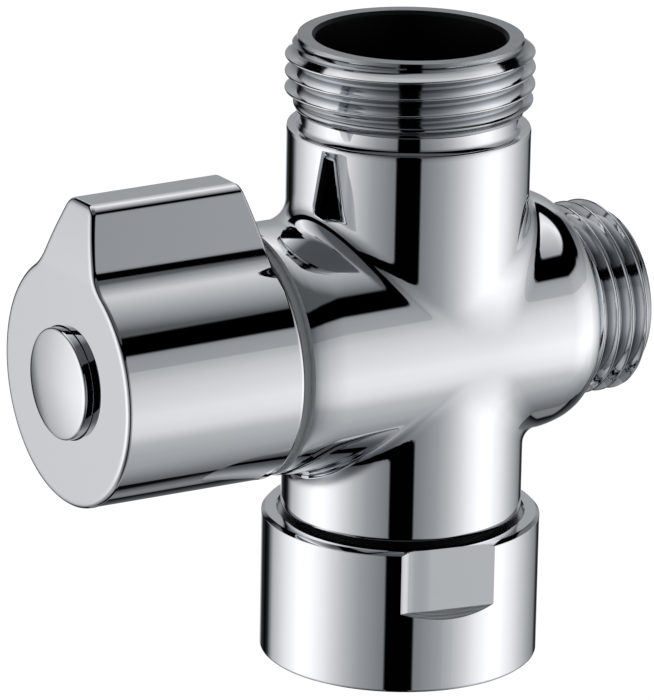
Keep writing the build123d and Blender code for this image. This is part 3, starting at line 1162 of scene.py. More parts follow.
    def _bottom(self, maker: bmesh.types.BMesh) -> None:
        """The tube's lower face, the spigot with its ring groove, and the inlet bore.

        Args:
            maker: The casting's bmesh.
        """
        edge = [(self.tube_bottom + rise, radius) for rise, radius in self.tube_edge]
        upper, lower = self.groove
        spigot = [
            (self.tube_bottom, self.spigot),
            (upper, self.spigot),
            (upper, self.groove_radius),
            (lower, self.groove_radius),
            (lower, self.spigot),
            (self.spigot_end + self.spigot_chamfer, self.spigot),
            (self.spigot_end, self.spigot - self.spigot_chamfer),
            (self.spigot_end, self.inlet_bore + self.inlet_bore_chamfer),
            (self.spigot_end + self.inlet_bore_chamfer, self.inlet_bore),
            (self.inlet_floor, self.inlet_bore),
        ]
        # The spigot takes the bores' finish, painted nearly black as shade
        edges = self._row(maker, Line.TUBE, -1, ((Finish.PLATE, edge), (Finish.INSIDE, spigot)))
        centre = Vector((self.inlet_port, 0.0, self.inlet_floor))
        port(maker, edges, Line.TUBE, centre, self.inlet_port_radius, self.inlet_port_depth)

    def _side(self, maker: bmesh.types.BMesh) -> None:
        """The arm's softly rounded end, the side outlet's neck and its bore.

        Args:
            maker: The casting's bmesh.
        """
        arm_end = self.crossing.arm_end
        places = [arm_end - self.arm_rim * share for share in self.arm_rim_shares]
        radii = self.crossing.stem_radius(np.array(places))
        outside = [
            *((place, float(radius)) for place, radius in zip(places, radii)),
            (arm_end, self.side_face),
            (arm_end, self.side_neck),
            (self.side_neck_end, self.side_neck),
            (self.side_core_start, self.side_core),
            (self.side_end - self.side_chamfer, self.side_core),
            (self.side_end, self.side_neck),
        ]
        flat = [(self.side_end, self.side_rim_inner)]
        bore = [
            (self.side_end - self.side_bore_chamfer, self.side_bore),
            (self.side_floor, self.side_bore),
        ]
        rows = ((Finish.PLATE, outside), (Finish.TURNED, flat), (Finish.INSIDE, bore))
        edges = self._row(maker, Line.CROSS, 1, rows)
        centre = Vector((self.side_floor, 0.0, AXIS_HEIGHT - self.side_passage_drop))
        port(maker, edges, Line.CROSS, centre, self.passage_radius, -self.side_passage_depth)

    def _boss(self, maker: bmesh.types.BMesh) -> None:
        """The boss's blasted face and collar, and the cartridge chamber behind them.

        Args:
            maker: The casting's bmesh.
        """
        face = self.crossing.boss_face
        collar = face - self.collar_length
        lead = self.collar_inner - self.mouth_radius
        floor = face + self.mouth_depth
        blasted = [
            *((face + run, radius) for run, radius in self.boss_edge),
            (face, self.collar_radius),
            (collar, self.collar_radius),
            (collar, self.collar_inner),
            (collar + lead, self.mouth_radius),
        ]
        chamber = [
            (floor, self.mouth_radius),
            (floor, self.chamber_radius),
            (self.seat, self.chamber_radius),
            (self.seat, 0.0),
        ]
        self._row(maker, Line.CROSS, -1, ((Finish.COLLAR, blasted), (Finish.INSIDE, chamber)))

    def _mouth(
        self, maker: bmesh.types.BMesh, line: Line, sign: int
    ) -> list[bmesh.types.BMEdge]:
        """The open edges at one end of a stem.

        Args:
            maker: The casting's bmesh.
            line: The stem's axis.
            sign: Which end of the stem.

        Returns:
            The edges of that end's mouth.
        """
        axis = line.place
        middle = AXIS_HEIGHT if line is Line.TUBE else 0.0
        mouth = []
        for edge in maker.edges:
            if not edge.is_boundary:
                continue
            first, second = (vertex.co[axis] for vertex in edge.verts)
            if abs(first - second) < 1e-6 and (first - middle) * sign > self.crossing.tube_radius:
                mouth.append(edge)
        return mouth


@dataclass
class SwivelNut:
    """The chromed union nut with its two wrench flats and inside thread."""

    radius: float = 15.0
    height: float = 15.4
    top_face: float = 15.76
    chamfer_width: float = 0.38
    edge_round: float = 0.08
    edge_shares: tuple[float, float] = (0.3, 0.5)
    lower_ease: float = 0.3
    inner_edge: Rings = ((0.0, 13.4), (-0.16, 13.26))
    recess_depth: float = 0.4
    recess_radius: float = 13.2
    thread_radius: float = 12.06
    lead_radius: float = 12.86
    lead_length: float = 0.8
    relief_start: float = 7.0
    relief_radius: float = 12.5
    collar: float = 11.7
    collar_radius: float = 11.35
    flat_reach: float = 14.03
    flat_height: float = 6.5
    flat_turn: float = -10.8
    ledge_slope: float = 40.0
    hollow: float = 0.1
    hollow_rise: float = 1.0
    hollow_run: float = 2.4
    fine_cut: float = 0.12
    fine_cuts: int = 7
    coarse_cuts: tuple[float, ...] = (1.4, 2.2, 3.2, 4.4, 5.6)
    cut_reach: float = 10.0
    steps: int = 256

    def build(self, finishes: Sequence[bpy.types.Material]) -> bpy.types.Object:
        """Turn the nut, cut its flats and finish it.

        Args:
            finishes: The plate, the turned faces and the inside, in the order of Finish.

        Returns:
            The nut.
        """
        maker = bmesh.new()
        recess = self.top_face - self.recess_depth
        angles = [math.radians(degrees) for degrees in range(0, 91, 30)]
        rim = self.radius - self.chamfer_width
        lower, upper = (self.edge_round * share for share in self.edge_shares)
        outside = [
            (0.0, self.lead_radius),
            *(
                (
                    self.lower_ease * (1 - math.cos(angle)),
                    self.radius - self.lower_ease * (1 - math.sin(angle)),
                )
                for angle in angles
            ),
            (self.height - self.edge_round, self.radius),
            (self.height, self.radius - lower),
            (self.top_face - self.edge_round, rim + self.edge_round),
            (self.top_face, rim - upper),
            *((self.top_face + rise, radius) for rise, radius in self.inner_edge),
        ]
        top = [outside[-1], (recess, self.recess_radius), (recess, self.collar_radius)]
        inside = [
            top[-1],
            (self.collar, self.collar_radius),
            (self.collar, self.relief_radius),
            (self.relief_start, self.relief_radius),
            (self.relief_start, self.thread_radius),
            (self.lead_length, self.thread_radius),
            (0.0, self.lead_radius),
        ]
        turn_profile(maker, outside, Line.TUBE, self.steps)
        turn_profile(maker, top, Line.TUBE, self.steps, Finish.TURNED)
        # The nut's inside takes the bores' finish, painted nearly black as shade
        turn_profile(maker, inside, Line.TUBE, self.steps, Finish.INSIDE)
        bmesh.ops.remove_doubles(maker, verts=maker.verts, dist=CLOSE)
        for sign in (1, -1):
            self._cut_flat(maker, sign)
        bmesh.ops.remove_doubles(maker, verts=maker.verts, dist=CLOSE)
        bmesh.ops.recalc_face_normals(maker, faces=maker.faces)
        nut = new_piece(maker, "union_nut", Carrier.NUT, finishes, 12.0)
        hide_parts("swivel_nut")
        return nut

    def _cut_flat(self, maker: bmesh.types.BMesh, sign: int) -> None:
        """Press one side of the nut back to its flat, leaving a sloping ledge below it.

        Args:
            maker: The nut's bmesh.
            sign: 1 for the flat on the -Y side and -1 for the one behind.
        """
        angle = math.radians(self.flat_turn)
        normal = Vector((math.sin(angle), -math.cos(angle), 0.0)) * sign
        across = Vector((0.0, 0.0, 1.0)).cross(normal)
        half = math.sqrt(self.radius**2 - self.flat_reach**2)
        slope = math.radians(self.ledge_slope)
        foot = normal * self.flat_reach + Vector((0.0, 0.0, self.height - self.flat_height))
        ledge = Vector((0.0, 0.0, math.cos(slope))) + normal * math.sin(slope)
        cuts = [(normal * self.flat_reach, normal), (foot, ledge)]
        fine = [self.fine_cut * step for step in range(1, self.fine_cuts + 1)]
        cuts += [(across * (run - half), across) for run in (*fine, *self.coarse_cuts)]
        for place, direction in cuts:
            near = [
                face
                for face in maker.faces
                if face.calc_center_median().dot(normal) > self.cut_reach
            ]
            edges = {edge for face in near for edge in face.edges}
            verts = {vertex for face in near for vertex in face.verts}
            bmesh.ops.bisect_plane(
                maker,
                geom=[*verts, *edges, *near],
                plane_co=place,
                plane_no=direction,
                dist=CLOSE,
            )

        def beyond(point: Vector) -> float:
            """How far a point lies outside the flat."""
            return point.dot(normal) - self.flat_reach

        def above(point: Vector) -> float:
            """How far a point lies above the sloping ledge."""
            return (point - foot).dot(ledge)

        rim = [
            edge
            for edge in maker.edges
            if all(abs(above(vertex.co)) < CLOSE for vertex in edge.verts)
            and beyond((edge.verts[0].co + edge.verts[1].co) / 2) > CLOSE
        ]
        bmesh.ops.split_edges(maker, edges=rim)
        upper = set()
        for face in maker.faces:
            centre = face.calc_center_median()
            if above(centre) > 0 and beyond(centre) > 0:
                upper.update(face.verts)
        for vertex in upper:
            gap = beyond(vertex.co)
            if gap > -CLOSE:
                run = vertex.co.dot(across) + half
                vertex.co -= normal * (gap + self._dip(run))
                vertex.co.z = max(vertex.co.z, foot.z)
        open_edges = [edge for edge in maker.edges if edge.is_boundary]
        paint(bmesh.ops.contextual_create(maker, geom=open_edges)["faces"], Finish.TURNED)

    def _dip(self, run: float) -> float:
        """How far the buffed flat lies below its plane.

        Args:
            run: The distance from the flat's left edge.

        Returns:
            The depth there.
        """
        if run < self.hollow_rise:
            share = max(run, 0.0) / self.hollow_rise
        else:
            share = max(1 - (run - self.hollow_rise) / self.hollow_run, 0.0)
        return self.hollow * share * share * (3 - 2 * share)


@dataclass(frozen=True)
class Row:
    """One row of the knob's shell: how far it lies inside the outline and from which end."""

    inset: float
    depth: float
    from_rear: bool
    finish: Finish


@dataclass
class Knob:
    """The chromed knob: a round shell with a flat-topped fin and a pocket for its cap.

    It is drawn about an axis at height 0 and lifted to its place when it is done.
    """

    rear: float = -20.35
    front: float = -41.3
    radius: float = 12.96
    fin_height: float = 19.2
    top_half_width: float = 2.3
    base_half_width: float = 5.4
    base_height: float = 12.2
    root_blend: float = 5.6
    swell_front: float = 0.28
    swell_rear: float = 0.5
    crown_share: float = 0.35
    edge_round: float = 1.2
    slant: float = 1.6
    slant_start: float = 11.5
    slant_power: float = 1.45
    slant_cuts: int = 16
    slant_cut: float = 0.5
    edge_ease: float = 0.5
    edge_margin: float = 0.3
    wall: float = 1.2
    front_wall: float = 3.0
    plated_mouth: float = 1.5
    pocket_edge: float = 6.06
    pocket_ease: float = 0.12
    pocket_wall_start: float = 0.3
    pocket_radius: float = 6.0
    pocket_depth: float = 5.3
    pocket_shell: float = 7.62
    screw_hole: float = 2.2
    hub_radius: float = 6.32
    hub_bore: float = 4.62
    hub_web: float = 0.6
    hub_end: float = -27.6
    round_steps: int = 110
    root_steps: int = 14
    edge_steps: int = 10
    outline_middle: float = 3.0
    rear_share: float = 0.3
    circle_steps: int = 96
    slack: float = 0.05

    def build(self, finishes: Sequence[bpy.types.Material]) -> bpy.types.Object:
        """Draw the outline, pull it to length, lean the fin's ends and round the edges.

        Args:
            finishes: The plate, the turned faces and the inside, in the order of Finish.

        Returns:
            The knob.
        """
        maker = bmesh.new()
        self._outline(maker)
        bmesh.ops.remove_doubles(maker, verts=maker.verts, dist=CLOSE)
        outline = maker.edges[:]
        for vertex, direction in self._outward(outline).items():
            vertex.co -= direction * self._face_inset(direction)
        pocket = self._circle(maker, self.pocket_edge, 0.0)
        bmesh.ops.triangle_fill(maker, edges=outline + pocket, use_beauty=True)
        for step in range(self.slant_cuts):
            geometry = maker.verts[:] + maker.edges[:] + maker.faces[:]
            bmesh.ops.bisect_plane(
                maker,
                geom=geometry,
                plane_co=(0.0, 0.0, self.slant_start - self.slack + self.slant_cut * step),
                plane_no=(0.0, 0.0, 1.0),
                dist=1e-5,
            )
        bare = [edge for edge in maker.edges if edge.is_boundary]
        reach = self.pocket_edge + self.slack
        pocket = [edge for edge in bare if max(v.co.length for v in edge.verts) < reach]
        inner = self._pull(maker, [edge for edge in bare if edge not in set(pocket)])
        self._pocket(maker, pocket)
        self._hub(maker, inner)
        bmesh.ops.translate(maker, vec=Line.CROSS.foot(), verts=maker.verts)
        bmesh.ops.remove_doubles(maker, verts=maker.verts, dist=CLOSE)
        bmesh.ops.recalc_face_normals(maker, faces=maker.faces)
        knob = new_piece(maker, "knob_shell", Carrier.KNOB, finishes, 35.0)
        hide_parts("knob")
        return knob

    def _circle(
        self, maker: bmesh.types.BMesh, radius: float, place: float
    ) -> list[bmesh.types.BMEdge]:
        """Draw a circle about the knob's axis.

        Args:
            maker: The knob's bmesh.
            radius: The circle's radius.
            place: Where it lies along the axis.

        Returns:
            Its edges.
        """
        matrix = Matrix.Translation((place, 0.0, 0.0)) @ Matrix.Rotation(math.pi / 2, 4, "Y")
        drawn = bmesh.ops.create_circle(
            maker, segments=self.circle_steps, radius=radius, matrix=matrix
        )
        return list({edge for vertex in drawn["verts"] for edge in vertex.link_edges})

    def _arc(
        self,
        maker: bmesh.types.BMesh,
        start: bmesh.types.BMVert,
        centre: tuple[float, float],
        sweep: float,
        steps: int,
    ) -> bmesh.types.BMVert:
        """Swing a vertex about a point of the outline's plane.

        Args:
            maker: The knob's bmesh.
            start: The vertex that the arc starts from.
            centre: The arc's centre, across and up.
            sweep: The angle in degrees, positive from +Y towards +Z.
            steps: Segments in the arc.

        Returns:
            The arc's last vertex.
        """
        spun = bmesh.ops.spin(
            maker,
            geom=[start],
            cent=(0.0, centre[0], centre[1]),
            axis=(1.0, 0.0, 0.0),
            angle=math.radians(sweep),
            steps=steps,
        )
        return picked(spun["geom_last"], bmesh.types.BMVert)[0]

    def _outline(self, maker: bmesh.types.BMesh) -> None:
        """Draw half the outline from the bottom to the fin's top, and mirror it.

        Args:
            maker: The knob's empty bmesh.
        """
        run = self.base_half_width - self.top_half_width
        rise = self.fin_height - self.base_height
        lean = math.atan2(run, rise)
        outward = (math.cos(lean), math.sin(lean))
        line_reach = self.base_half_width * outward[0] + self.base_height * outward[1]
        far = self.radius + self.root_blend
        centre_angle = lean + math.acos((line_reach + self.root_blend) / far)
        centre = (far * math.cos(centre_angle), far * math.sin(centre_angle))
        start = maker.verts.new((0.0, 0.0, -self.radius))
        sweep = 90 + math.degrees(centre_angle)
        joint = self._arc(maker, start, (0.0, 0.0), sweep, self.round_steps)
        sweep = math.degrees(lean - centre_angle)
        root = self._arc(maker, joint, centre, sweep, self.root_steps)
        top_y = self.fin_height - self.edge_round
        top_x = (line_reach - self.edge_round - top_y * outward[1]) / outward[0]
        edge_start = maker.verts.new(
            (0.0, top_x + self.edge_round * outward[0], top_y + self.edge_round * outward[1])
        )
        maker.edges.new((root, edge_start))
        sweep = 90 - math.degrees(lean)
        edge_end = self._arc(maker, edge_start, (top_x, top_y), sweep, self.edge_steps)
        crest = maker.verts.new((0.0, 0.0, self.fin_height))
        maker.edges.new((edge_end, crest))
        half = maker.verts[:] + maker.edges[:]
        bmesh.ops.mirror(maker, geom=half, axis="Y", merge_dist=CLOSE)

    def _lean(self, height: float) -> float:
        """How far the fin's ends lean inwards.

        Args:
            height: The height above the knob's axis.

        Returns:
            The distance from the end of the round part.
        """
        over = max(height - self.slant_start, 0.0)
        full = self.fin_height - self.slant_start
        return self.slant * (over / full) ** self.slant_power

    def _pull(
        self, maker: bmesh.types.BMesh, outer: list[bmesh.types.BMEdge]
    ) -> list[bmesh.types.BMEdge]:
        """Pull the front face's outline back to the rear and in again under the front wall.

        Args:
            maker: The knob's bmesh.
            outer: The front face's outline.

        Returns:
            The open edges inside the shell.
        """
        outward = self._outward(outer)
        source = {v: v.co + line * self._face_inset(line) for v, line in outward.items()}
        for vertex in maker.verts:
            vertex.co.x = self.front + self._lean(vertex.co.z)
        edges = outer
        for row in self._rows():
            edges, verts = grow(maker, edges, row.finish)
            parents = {vertex: self._parent(source, vertex) for vertex in verts}
            source = {vertex: source[parent] for vertex, parent in parents.items()}
            outward = {vertex: outward[parent] for vertex, parent in parents.items()}
            for vertex in verts:
                inset = row.inset - self._swell(outward[vertex], 1.0 if row.from_rear else 0.0)
                vertex.co = source[vertex] - outward[vertex] * inset
                lean = self._lean(vertex.co.z)
                if row.from_rear:
                    vertex.co.x = self.rear - lean - row.depth
                else:
                    vertex.co.x = self.front + lean + row.depth
        return edges

    def _face_inset(self, outward: Vector) -> float:
        """How far the front face's own outline lies inside the shell's."""
        return self.edge_ease + self.edge_margin - self._swell(outward, 0.0)

    def _swell(self, outward: Vector, share: float) -> float:
        """How far the shell's draft carries it outwards, most of it on the underside.

        Args:
            outward: The outline's outward direction.
            share: How far along the knob, 0 at its front and 1 at its rear.

        Returns:
            The distance in millimetres.
        """
        below = (1 - outward.z) / 2
        full = self.swell_front + (self.swell_rear - self.swell_front) * share
        return full * (self.crown_share + (1 - self.crown_share) * below)

    def _rows(self) -> list[Row]:
        """List every row from the front edge over the outside to the inside of the shell.

        Returns:
            The rows in order.
        """
        ease = self.edge_ease
        turns = [math.radians(degrees) for degrees in (30, 60, 90)]
        rows = [Row(ease, 0.0, False, Finish.PLATE)]
        rows += [
            Row(ease * (1 - math.sin(a)), ease * (1 - math.cos(a)), False, Finish.PLATE)
            for a in turns
        ]
        rows += [
            Row(0.0, ease, True, Finish.PLATE),
            Row(ease * self.rear_share, ease * self.rear_share, True, Finish.PLATE),
            Row(ease, 0.0, True, Finish.PLATE),
            Row(self.wall, 0.0, True, Finish.PLATE),
            # Past the plated mouth the shell's inside takes a finish painted dark as shade
            Row(self.wall, self.plated_mouth, True, Finish.INSIDE),
            Row(self.wall, self.front_wall, False, Finish.INSIDE),
        ]
        return rows

    def _parent(
        self, source: dict[bmesh.types.BMVert, Vector], vertex: bmesh.types.BMVert
    ) -> bmesh.types.BMVert:
        """Find the vertex that a freshly grown one came from.

        Args:
            source: The vertices of the row before.
            vertex: The new vertex.

        Returns:
            Its parent in the row before.
        """
        for edge in vertex.link_edges:
            other = edge.other_vert(vertex)
            if other in source:
                return other
        raise ValueError("a grown vertex has no parent")

    def _outward(self, outer: list[bmesh.types.BMEdge]) -> dict[bmesh.types.BMVert, Vector]:
        """Find which way is outwards along the outline.

        Args:
            outer: The outline's edges.

        Returns:
            The outward direction at each of its vertices.
        """
        outward: dict[bmesh.types.BMVert, Vector] = {}
        for edge in outer:
            run = edge.verts[1].co - edge.verts[0].co
            across = Vector((0.0, run.z, -run.y)).normalized()
            middle = (edge.verts[0].co + edge.verts[1].co) / 2
            if across.y * middle.y + across.z * (middle.z - self.outline_middle) < 0:
                across = -across
            for vertex in edge.verts:
                outward[vertex] = outward.get(vertex, Vector()) + across
        return {vertex: direction.normalized() for vertex, direction in outward.items()}

    def _pocket(self, maker: bmesh.types.BMesh, ring: list[bmesh.types.BMEdge]) -> None:
        """Sink the cap's pocket into the front face, with the screw's hole in its floor.

        Args:
            maker: The knob's bmesh.
            ring: The pocket's edge in the front face.
        """
        lip = [(self.front + self.pocket_ease, self.pocket_edge - self.pocket_ease)]
        floor = self.front + self.pocket_depth
        rows = [
            (self.front + self.pocket_wall_start, self.pocket_radius),
            (floor, self.pocket_radius),
            (floor, self.screw_hole),
        ]
        edges = round_rows(maker, ring, Line.CROSS, lip, Finish.PLATE, Vector())
        round_rows(maker, edges, Line.CROSS, rows, Finish.INSIDE, Vector())

    def _hub(self, maker: bmesh.types.BMesh, inner: list[bmesh.types.BMEdge]) -> None:
        """Close the shell's inside with a floor that carries the hub.

        Args:
            maker: The knob's bmesh.
            inner: The open edges inside the shell.
        """
        floor = self.front + self.front_wall
        ring = self._circle(maker, self.pocket_shell, floor)
        filled = bmesh.ops.triangle_fill(maker, edges=inner + ring, use_beauty=True)["geom"]
        paint(filled, Finish.INSIDE)
        pocket_back = self.front + self.pocket_depth
        rows = [
            (pocket_back, self.pocket_shell),
            (pocket_back, self.hub_radius),
            (self.hub_end, self.hub_radius),
            (self.hub_end, self.hub_bore),
            (pocket_back + self.hub_web, self.hub_bore),
            (pocket_back + self.hub_web, self.screw_hole),
            (pocket_back, self.screw_hole),
        ]
        round_rows(maker, ring, Line.CROSS, rows, Finish.INSIDE, Vector())


@dataclass
class IndexCap:
    """The shallow chrome button in the middle of the knob, on a snap skirt painted nearly black as
    the shade round it.
    """

    front: float = -42.8
    radius: float = 5.97
    dome: float = 0.5
    edge_round: float = 0.3
    plated_wall: float = 0.7
    skirt_radius: float = 5.86
    skirt_end: float = -38.4
    wall: float = 0.8
    hollow_radius: float = 2.5
    dome_steps: int = 14
    edge_steps: int = 6
    steps: int = 128

    def build(self, finishes: Sequence[bpy.types.Material]) -> bpy.types.Object:
        """Turn the dome with its rounded edge, and the skirt under it.

        Args:
            finishes: The plate, the turned faces and the skirt, in the order of Finish.

        Returns:
            The cap.
        """
        maker = bmesh.new()
        bend = (self.radius**2 + self.dome**2) / (2 * self.dome)
        sweep = math.asin((self.radius - self.edge_round) / bend)
        crown = [
            (self.front + bend * (1 - math.cos(angle)), bend * math.sin(angle))
            for angle in (
                sweep * step / self.dome_steps for step in range(self.dome_steps + 1)
            )
        ]
        rim_place, rim_radius = crown[-1]
        turns = [
            sweep + (math.pi / 2 - sweep) * step / self.edge_steps
            for step in range(1, self.edge_steps + 1)
        ]
        centre = (
            rim_place + self.edge_round * math.cos(sweep),
            rim_radius - self.edge_round * math.sin(sweep),
        )
        edge = [
            (
                centre[0] - self.edge_round * math.cos(turn),
                centre[1] + self.edge_round * math.sin(turn),
            )
            for turn in turns
        ]
        wall_end = edge[-1][0] + self.plated_wall
        plated = [*crown, *edge, (wall_end, edge[-1][1])]
        skirt = [
            plated[-1],
            (wall_end, self.skirt_radius),
            (self.skirt_end, self.skirt_radius),
            (self.skirt_end, self.skirt_radius - self.wall),
            (self.front + self.dome + self.wall, self.skirt_radius - self.wall),
            (self.front + self.wall, self.hollow_radius),
            (self.front + self.wall, 0.0),
        ]
        turn_profile(maker, plated, Line.CROSS, self.steps)
        # The skirt takes a finish painted nearly black as shade
        turn_profile(maker, skirt, Line.CROSS, self.steps, Finish.INSIDE)
        bmesh.ops.remove_doubles(maker, verts=maker.verts, dist=1e-5)
        bmesh.ops.recalc_face_normals(maker, faces=maker.faces)
        cap = new_piece(maker, "cap_button", Carrier.KNOB, finishes, 40.0)
        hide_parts("index_cap")
        return cap


@dataclass
class Innards:
    """The inner pieces that keep their CAD meshes and get their own finishes."""

    def dress(self) -> None:
        """Assign a finish to each inner CAD node."""
        # Brass straight from the lathe is golden with a satin ring pattern
        brass = TurnedMetal("turned_brass", "#c9a35a", "#a98544", 0.24, Line.CROSS).material()
        # Screw, washer, clip, ring and sieve are pale grey steel with a soft shine
        screw = TurnedMetal("turned_steel", "#b9bcbd", "#8f9395", 0.22, Line.CROSS).material()
        spring = TurnedMetal("drawn_spring_wire", "#b9bcbd", "#8f9395", 0.22, Line.TUBE).material()
        sieve = TurnedMetal("rolled_steel_sieve", "#c4c7c8", "#a2a6a8", 0.2, Line.TUBE).material()
        # Moulded rubber is matt and nearly black
        rubber = DryBody("moulded_black_rubber", "#161718", "#222324", 0.62, 0.4, 0.01).material()
        # Fired and lapped ceramic is smooth with a soft gloss, one disc white and one grey
        white = DryBody("fired_white_ceramic", "#f1efe9", "#e6e3db", 0.2, 0.12, 0.002).material()
        grey = DryBody("lapped_grey_ceramic", "#8d8f90", "#7c7e80", 0.25, 0.12, 0.002).material()
        # Acetal is milky white with a waxy shine
        plastic = DryBody("moulded_acetal", "#eceae4", "#e2dfd7", 0.38, 0.3, 0.004).material()
        finishes = {
            "nut_snap_ring": spring,
            "inlet_washer": rubber,
            "inlet_filter": sieve,
            "cartridge_housing": brass,
            "housing_o_ring": rubber,
            "port_seal": rubber,
            "fixed_disc": white,
            "moving_disc": grey,
            "disc_carrier": plastic,
            "spindle": brass,
            "spindle_o_ring_inner": rubber,
            "spindle_o_ring_outer": rubber,
            "thrust_washer": plastic,
            "spindle_clip": screw,
            "knob_insert": brass,
            "screw_washer": screw,
            "knob_screw": screw,
        }
        for node, material in finishes.items():
            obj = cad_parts[node]
            obj.data.materials.clear()
            obj.data.materials.append(material)
            LOG.info("%s dressed as %s", node, material.name)


# The share of the light that the plate sends back, and the tent's strength as a light
PLATE_SHINE = 0.88
TENT_STRENGTH = 1.3

# Tones of 0 to 255 that the plate shows of both side walls, by the azimuth from the camera
WALL_TONES = (
    (0, 1), (11, 1), (12.5, 122), (20, 134), (33, 154), (45, 182), (57, 212), (66, 236),
    (75, 252), (82, 262), (92, 262), (99, 248), (108, 232), (120, 202), (132, 173),
    (141, 152), (149, 132), (152.5, 118), (155, 73), (158, 52), (161, 34), (166, 18),
    (180, 12),
)

# The same for the back of the left wall, and from which azimuth on it counts
LEFT_BACK_TONES = (
    (0, 160), (130, 168), (135, 124), (139.5, 46), (143, 26), (146, 9), (149.5, 9),
    (152, 28), (156, 42), (160, 48), (180, 40),
)
LEFT_BACK_START = ((128.0, 0.0), (133.0, 1.0))

# The share of its light that a wall keeps, by the elevation
HEIGHT_SHARES = (
    (-89, 0.30), (-57, 0.32), (-51, 0.37), (-42, 0.50), (-33, 0.81), (-25, 0.95),
    (-18, 1.0), (-8, 0.93), (0, 0.865), (9, 0.75), (15, 0.615), (17.9, 0.56),
    (18.3, 0.435), (27, 0.37), (30, 0.31), (31.4, 0.0), (89, 0.0),
)

# Where the ceiling starts: its own elevation, and its reach down behind the object by the
# elevation and the azimuth, which is narrower at the height of the black gap
CEILING_START = ((44.6, 0.0), (45.6, 1.0))
BACK_START = ((-8.0, 0.0), (-2.0, 1.0))
BACK_SIDES = ((146.0, 0.0), (156.0, 1.0))
GAP_SIDES = ((162.0, 0.0), (169.0, 1.0))
GAP_HEIGHT = ((30.0, 0.0), (31.4, 1.0), (44.6, 1.0), (45.6, 0.0))

# Tones of the ceiling, by the angle over the object from straight up towards the back
CEILING_TONES = (
    (-90, 60), (-12, 84), (-5, 130), (0, 150), (10, 181), (20, 207), (24.6, 227),
    (28.9, 240), (32.7, 228), (47.5, 196), (62, 176), (72, 155), (92, 140), (110, 60),
)

# Tones of the table by the elevation, and where it shows: behind the object and low down
TABLE_TONES = (
    (-90, 8), (-59.5, 8), (-58.2, 84), (-54, 124), (-49.5, 120), (-48.0, 24),
    (-46.5, 8), (90, 8),
)
TABLE_SIDES = ((135.5, 0.0), (137.0, 1.0))
TABLE_EDGE = ((-30.0, 1.0), (-27.0, 0.0))

# How much bluer than grey each tone is
COOL_TINTS = (
    (0, 0.0), (18, 1.5), (50, 2.4), (80, 2.4), (115, 2.25), (140, 2.1), (165, 1.85),
    (190, 1.0), (210, 0.0), (262, 0.0),
)


def tent_level(tone: float) -> float:
    """Share of the tent's strength that makes the plate show a tone of 0 to 255."""
    return decode(tone / 255) / PLATE_SHINE / TENT_STRENGTH


@dataclass(frozen=True)
class Sweep:
    """An angle that the tent's levels are looked up against, and its range in degrees."""

    node: bpy.types.Node
    low: float
    high: float


@dataclass(frozen=True)
class Ray:
    """Where a ray into the tent goes: across the camera's view, and its angles."""

    side: bpy.types.NodeSocket
    azimuth: Sweep
    elevation: Sweep
    over: Sweep


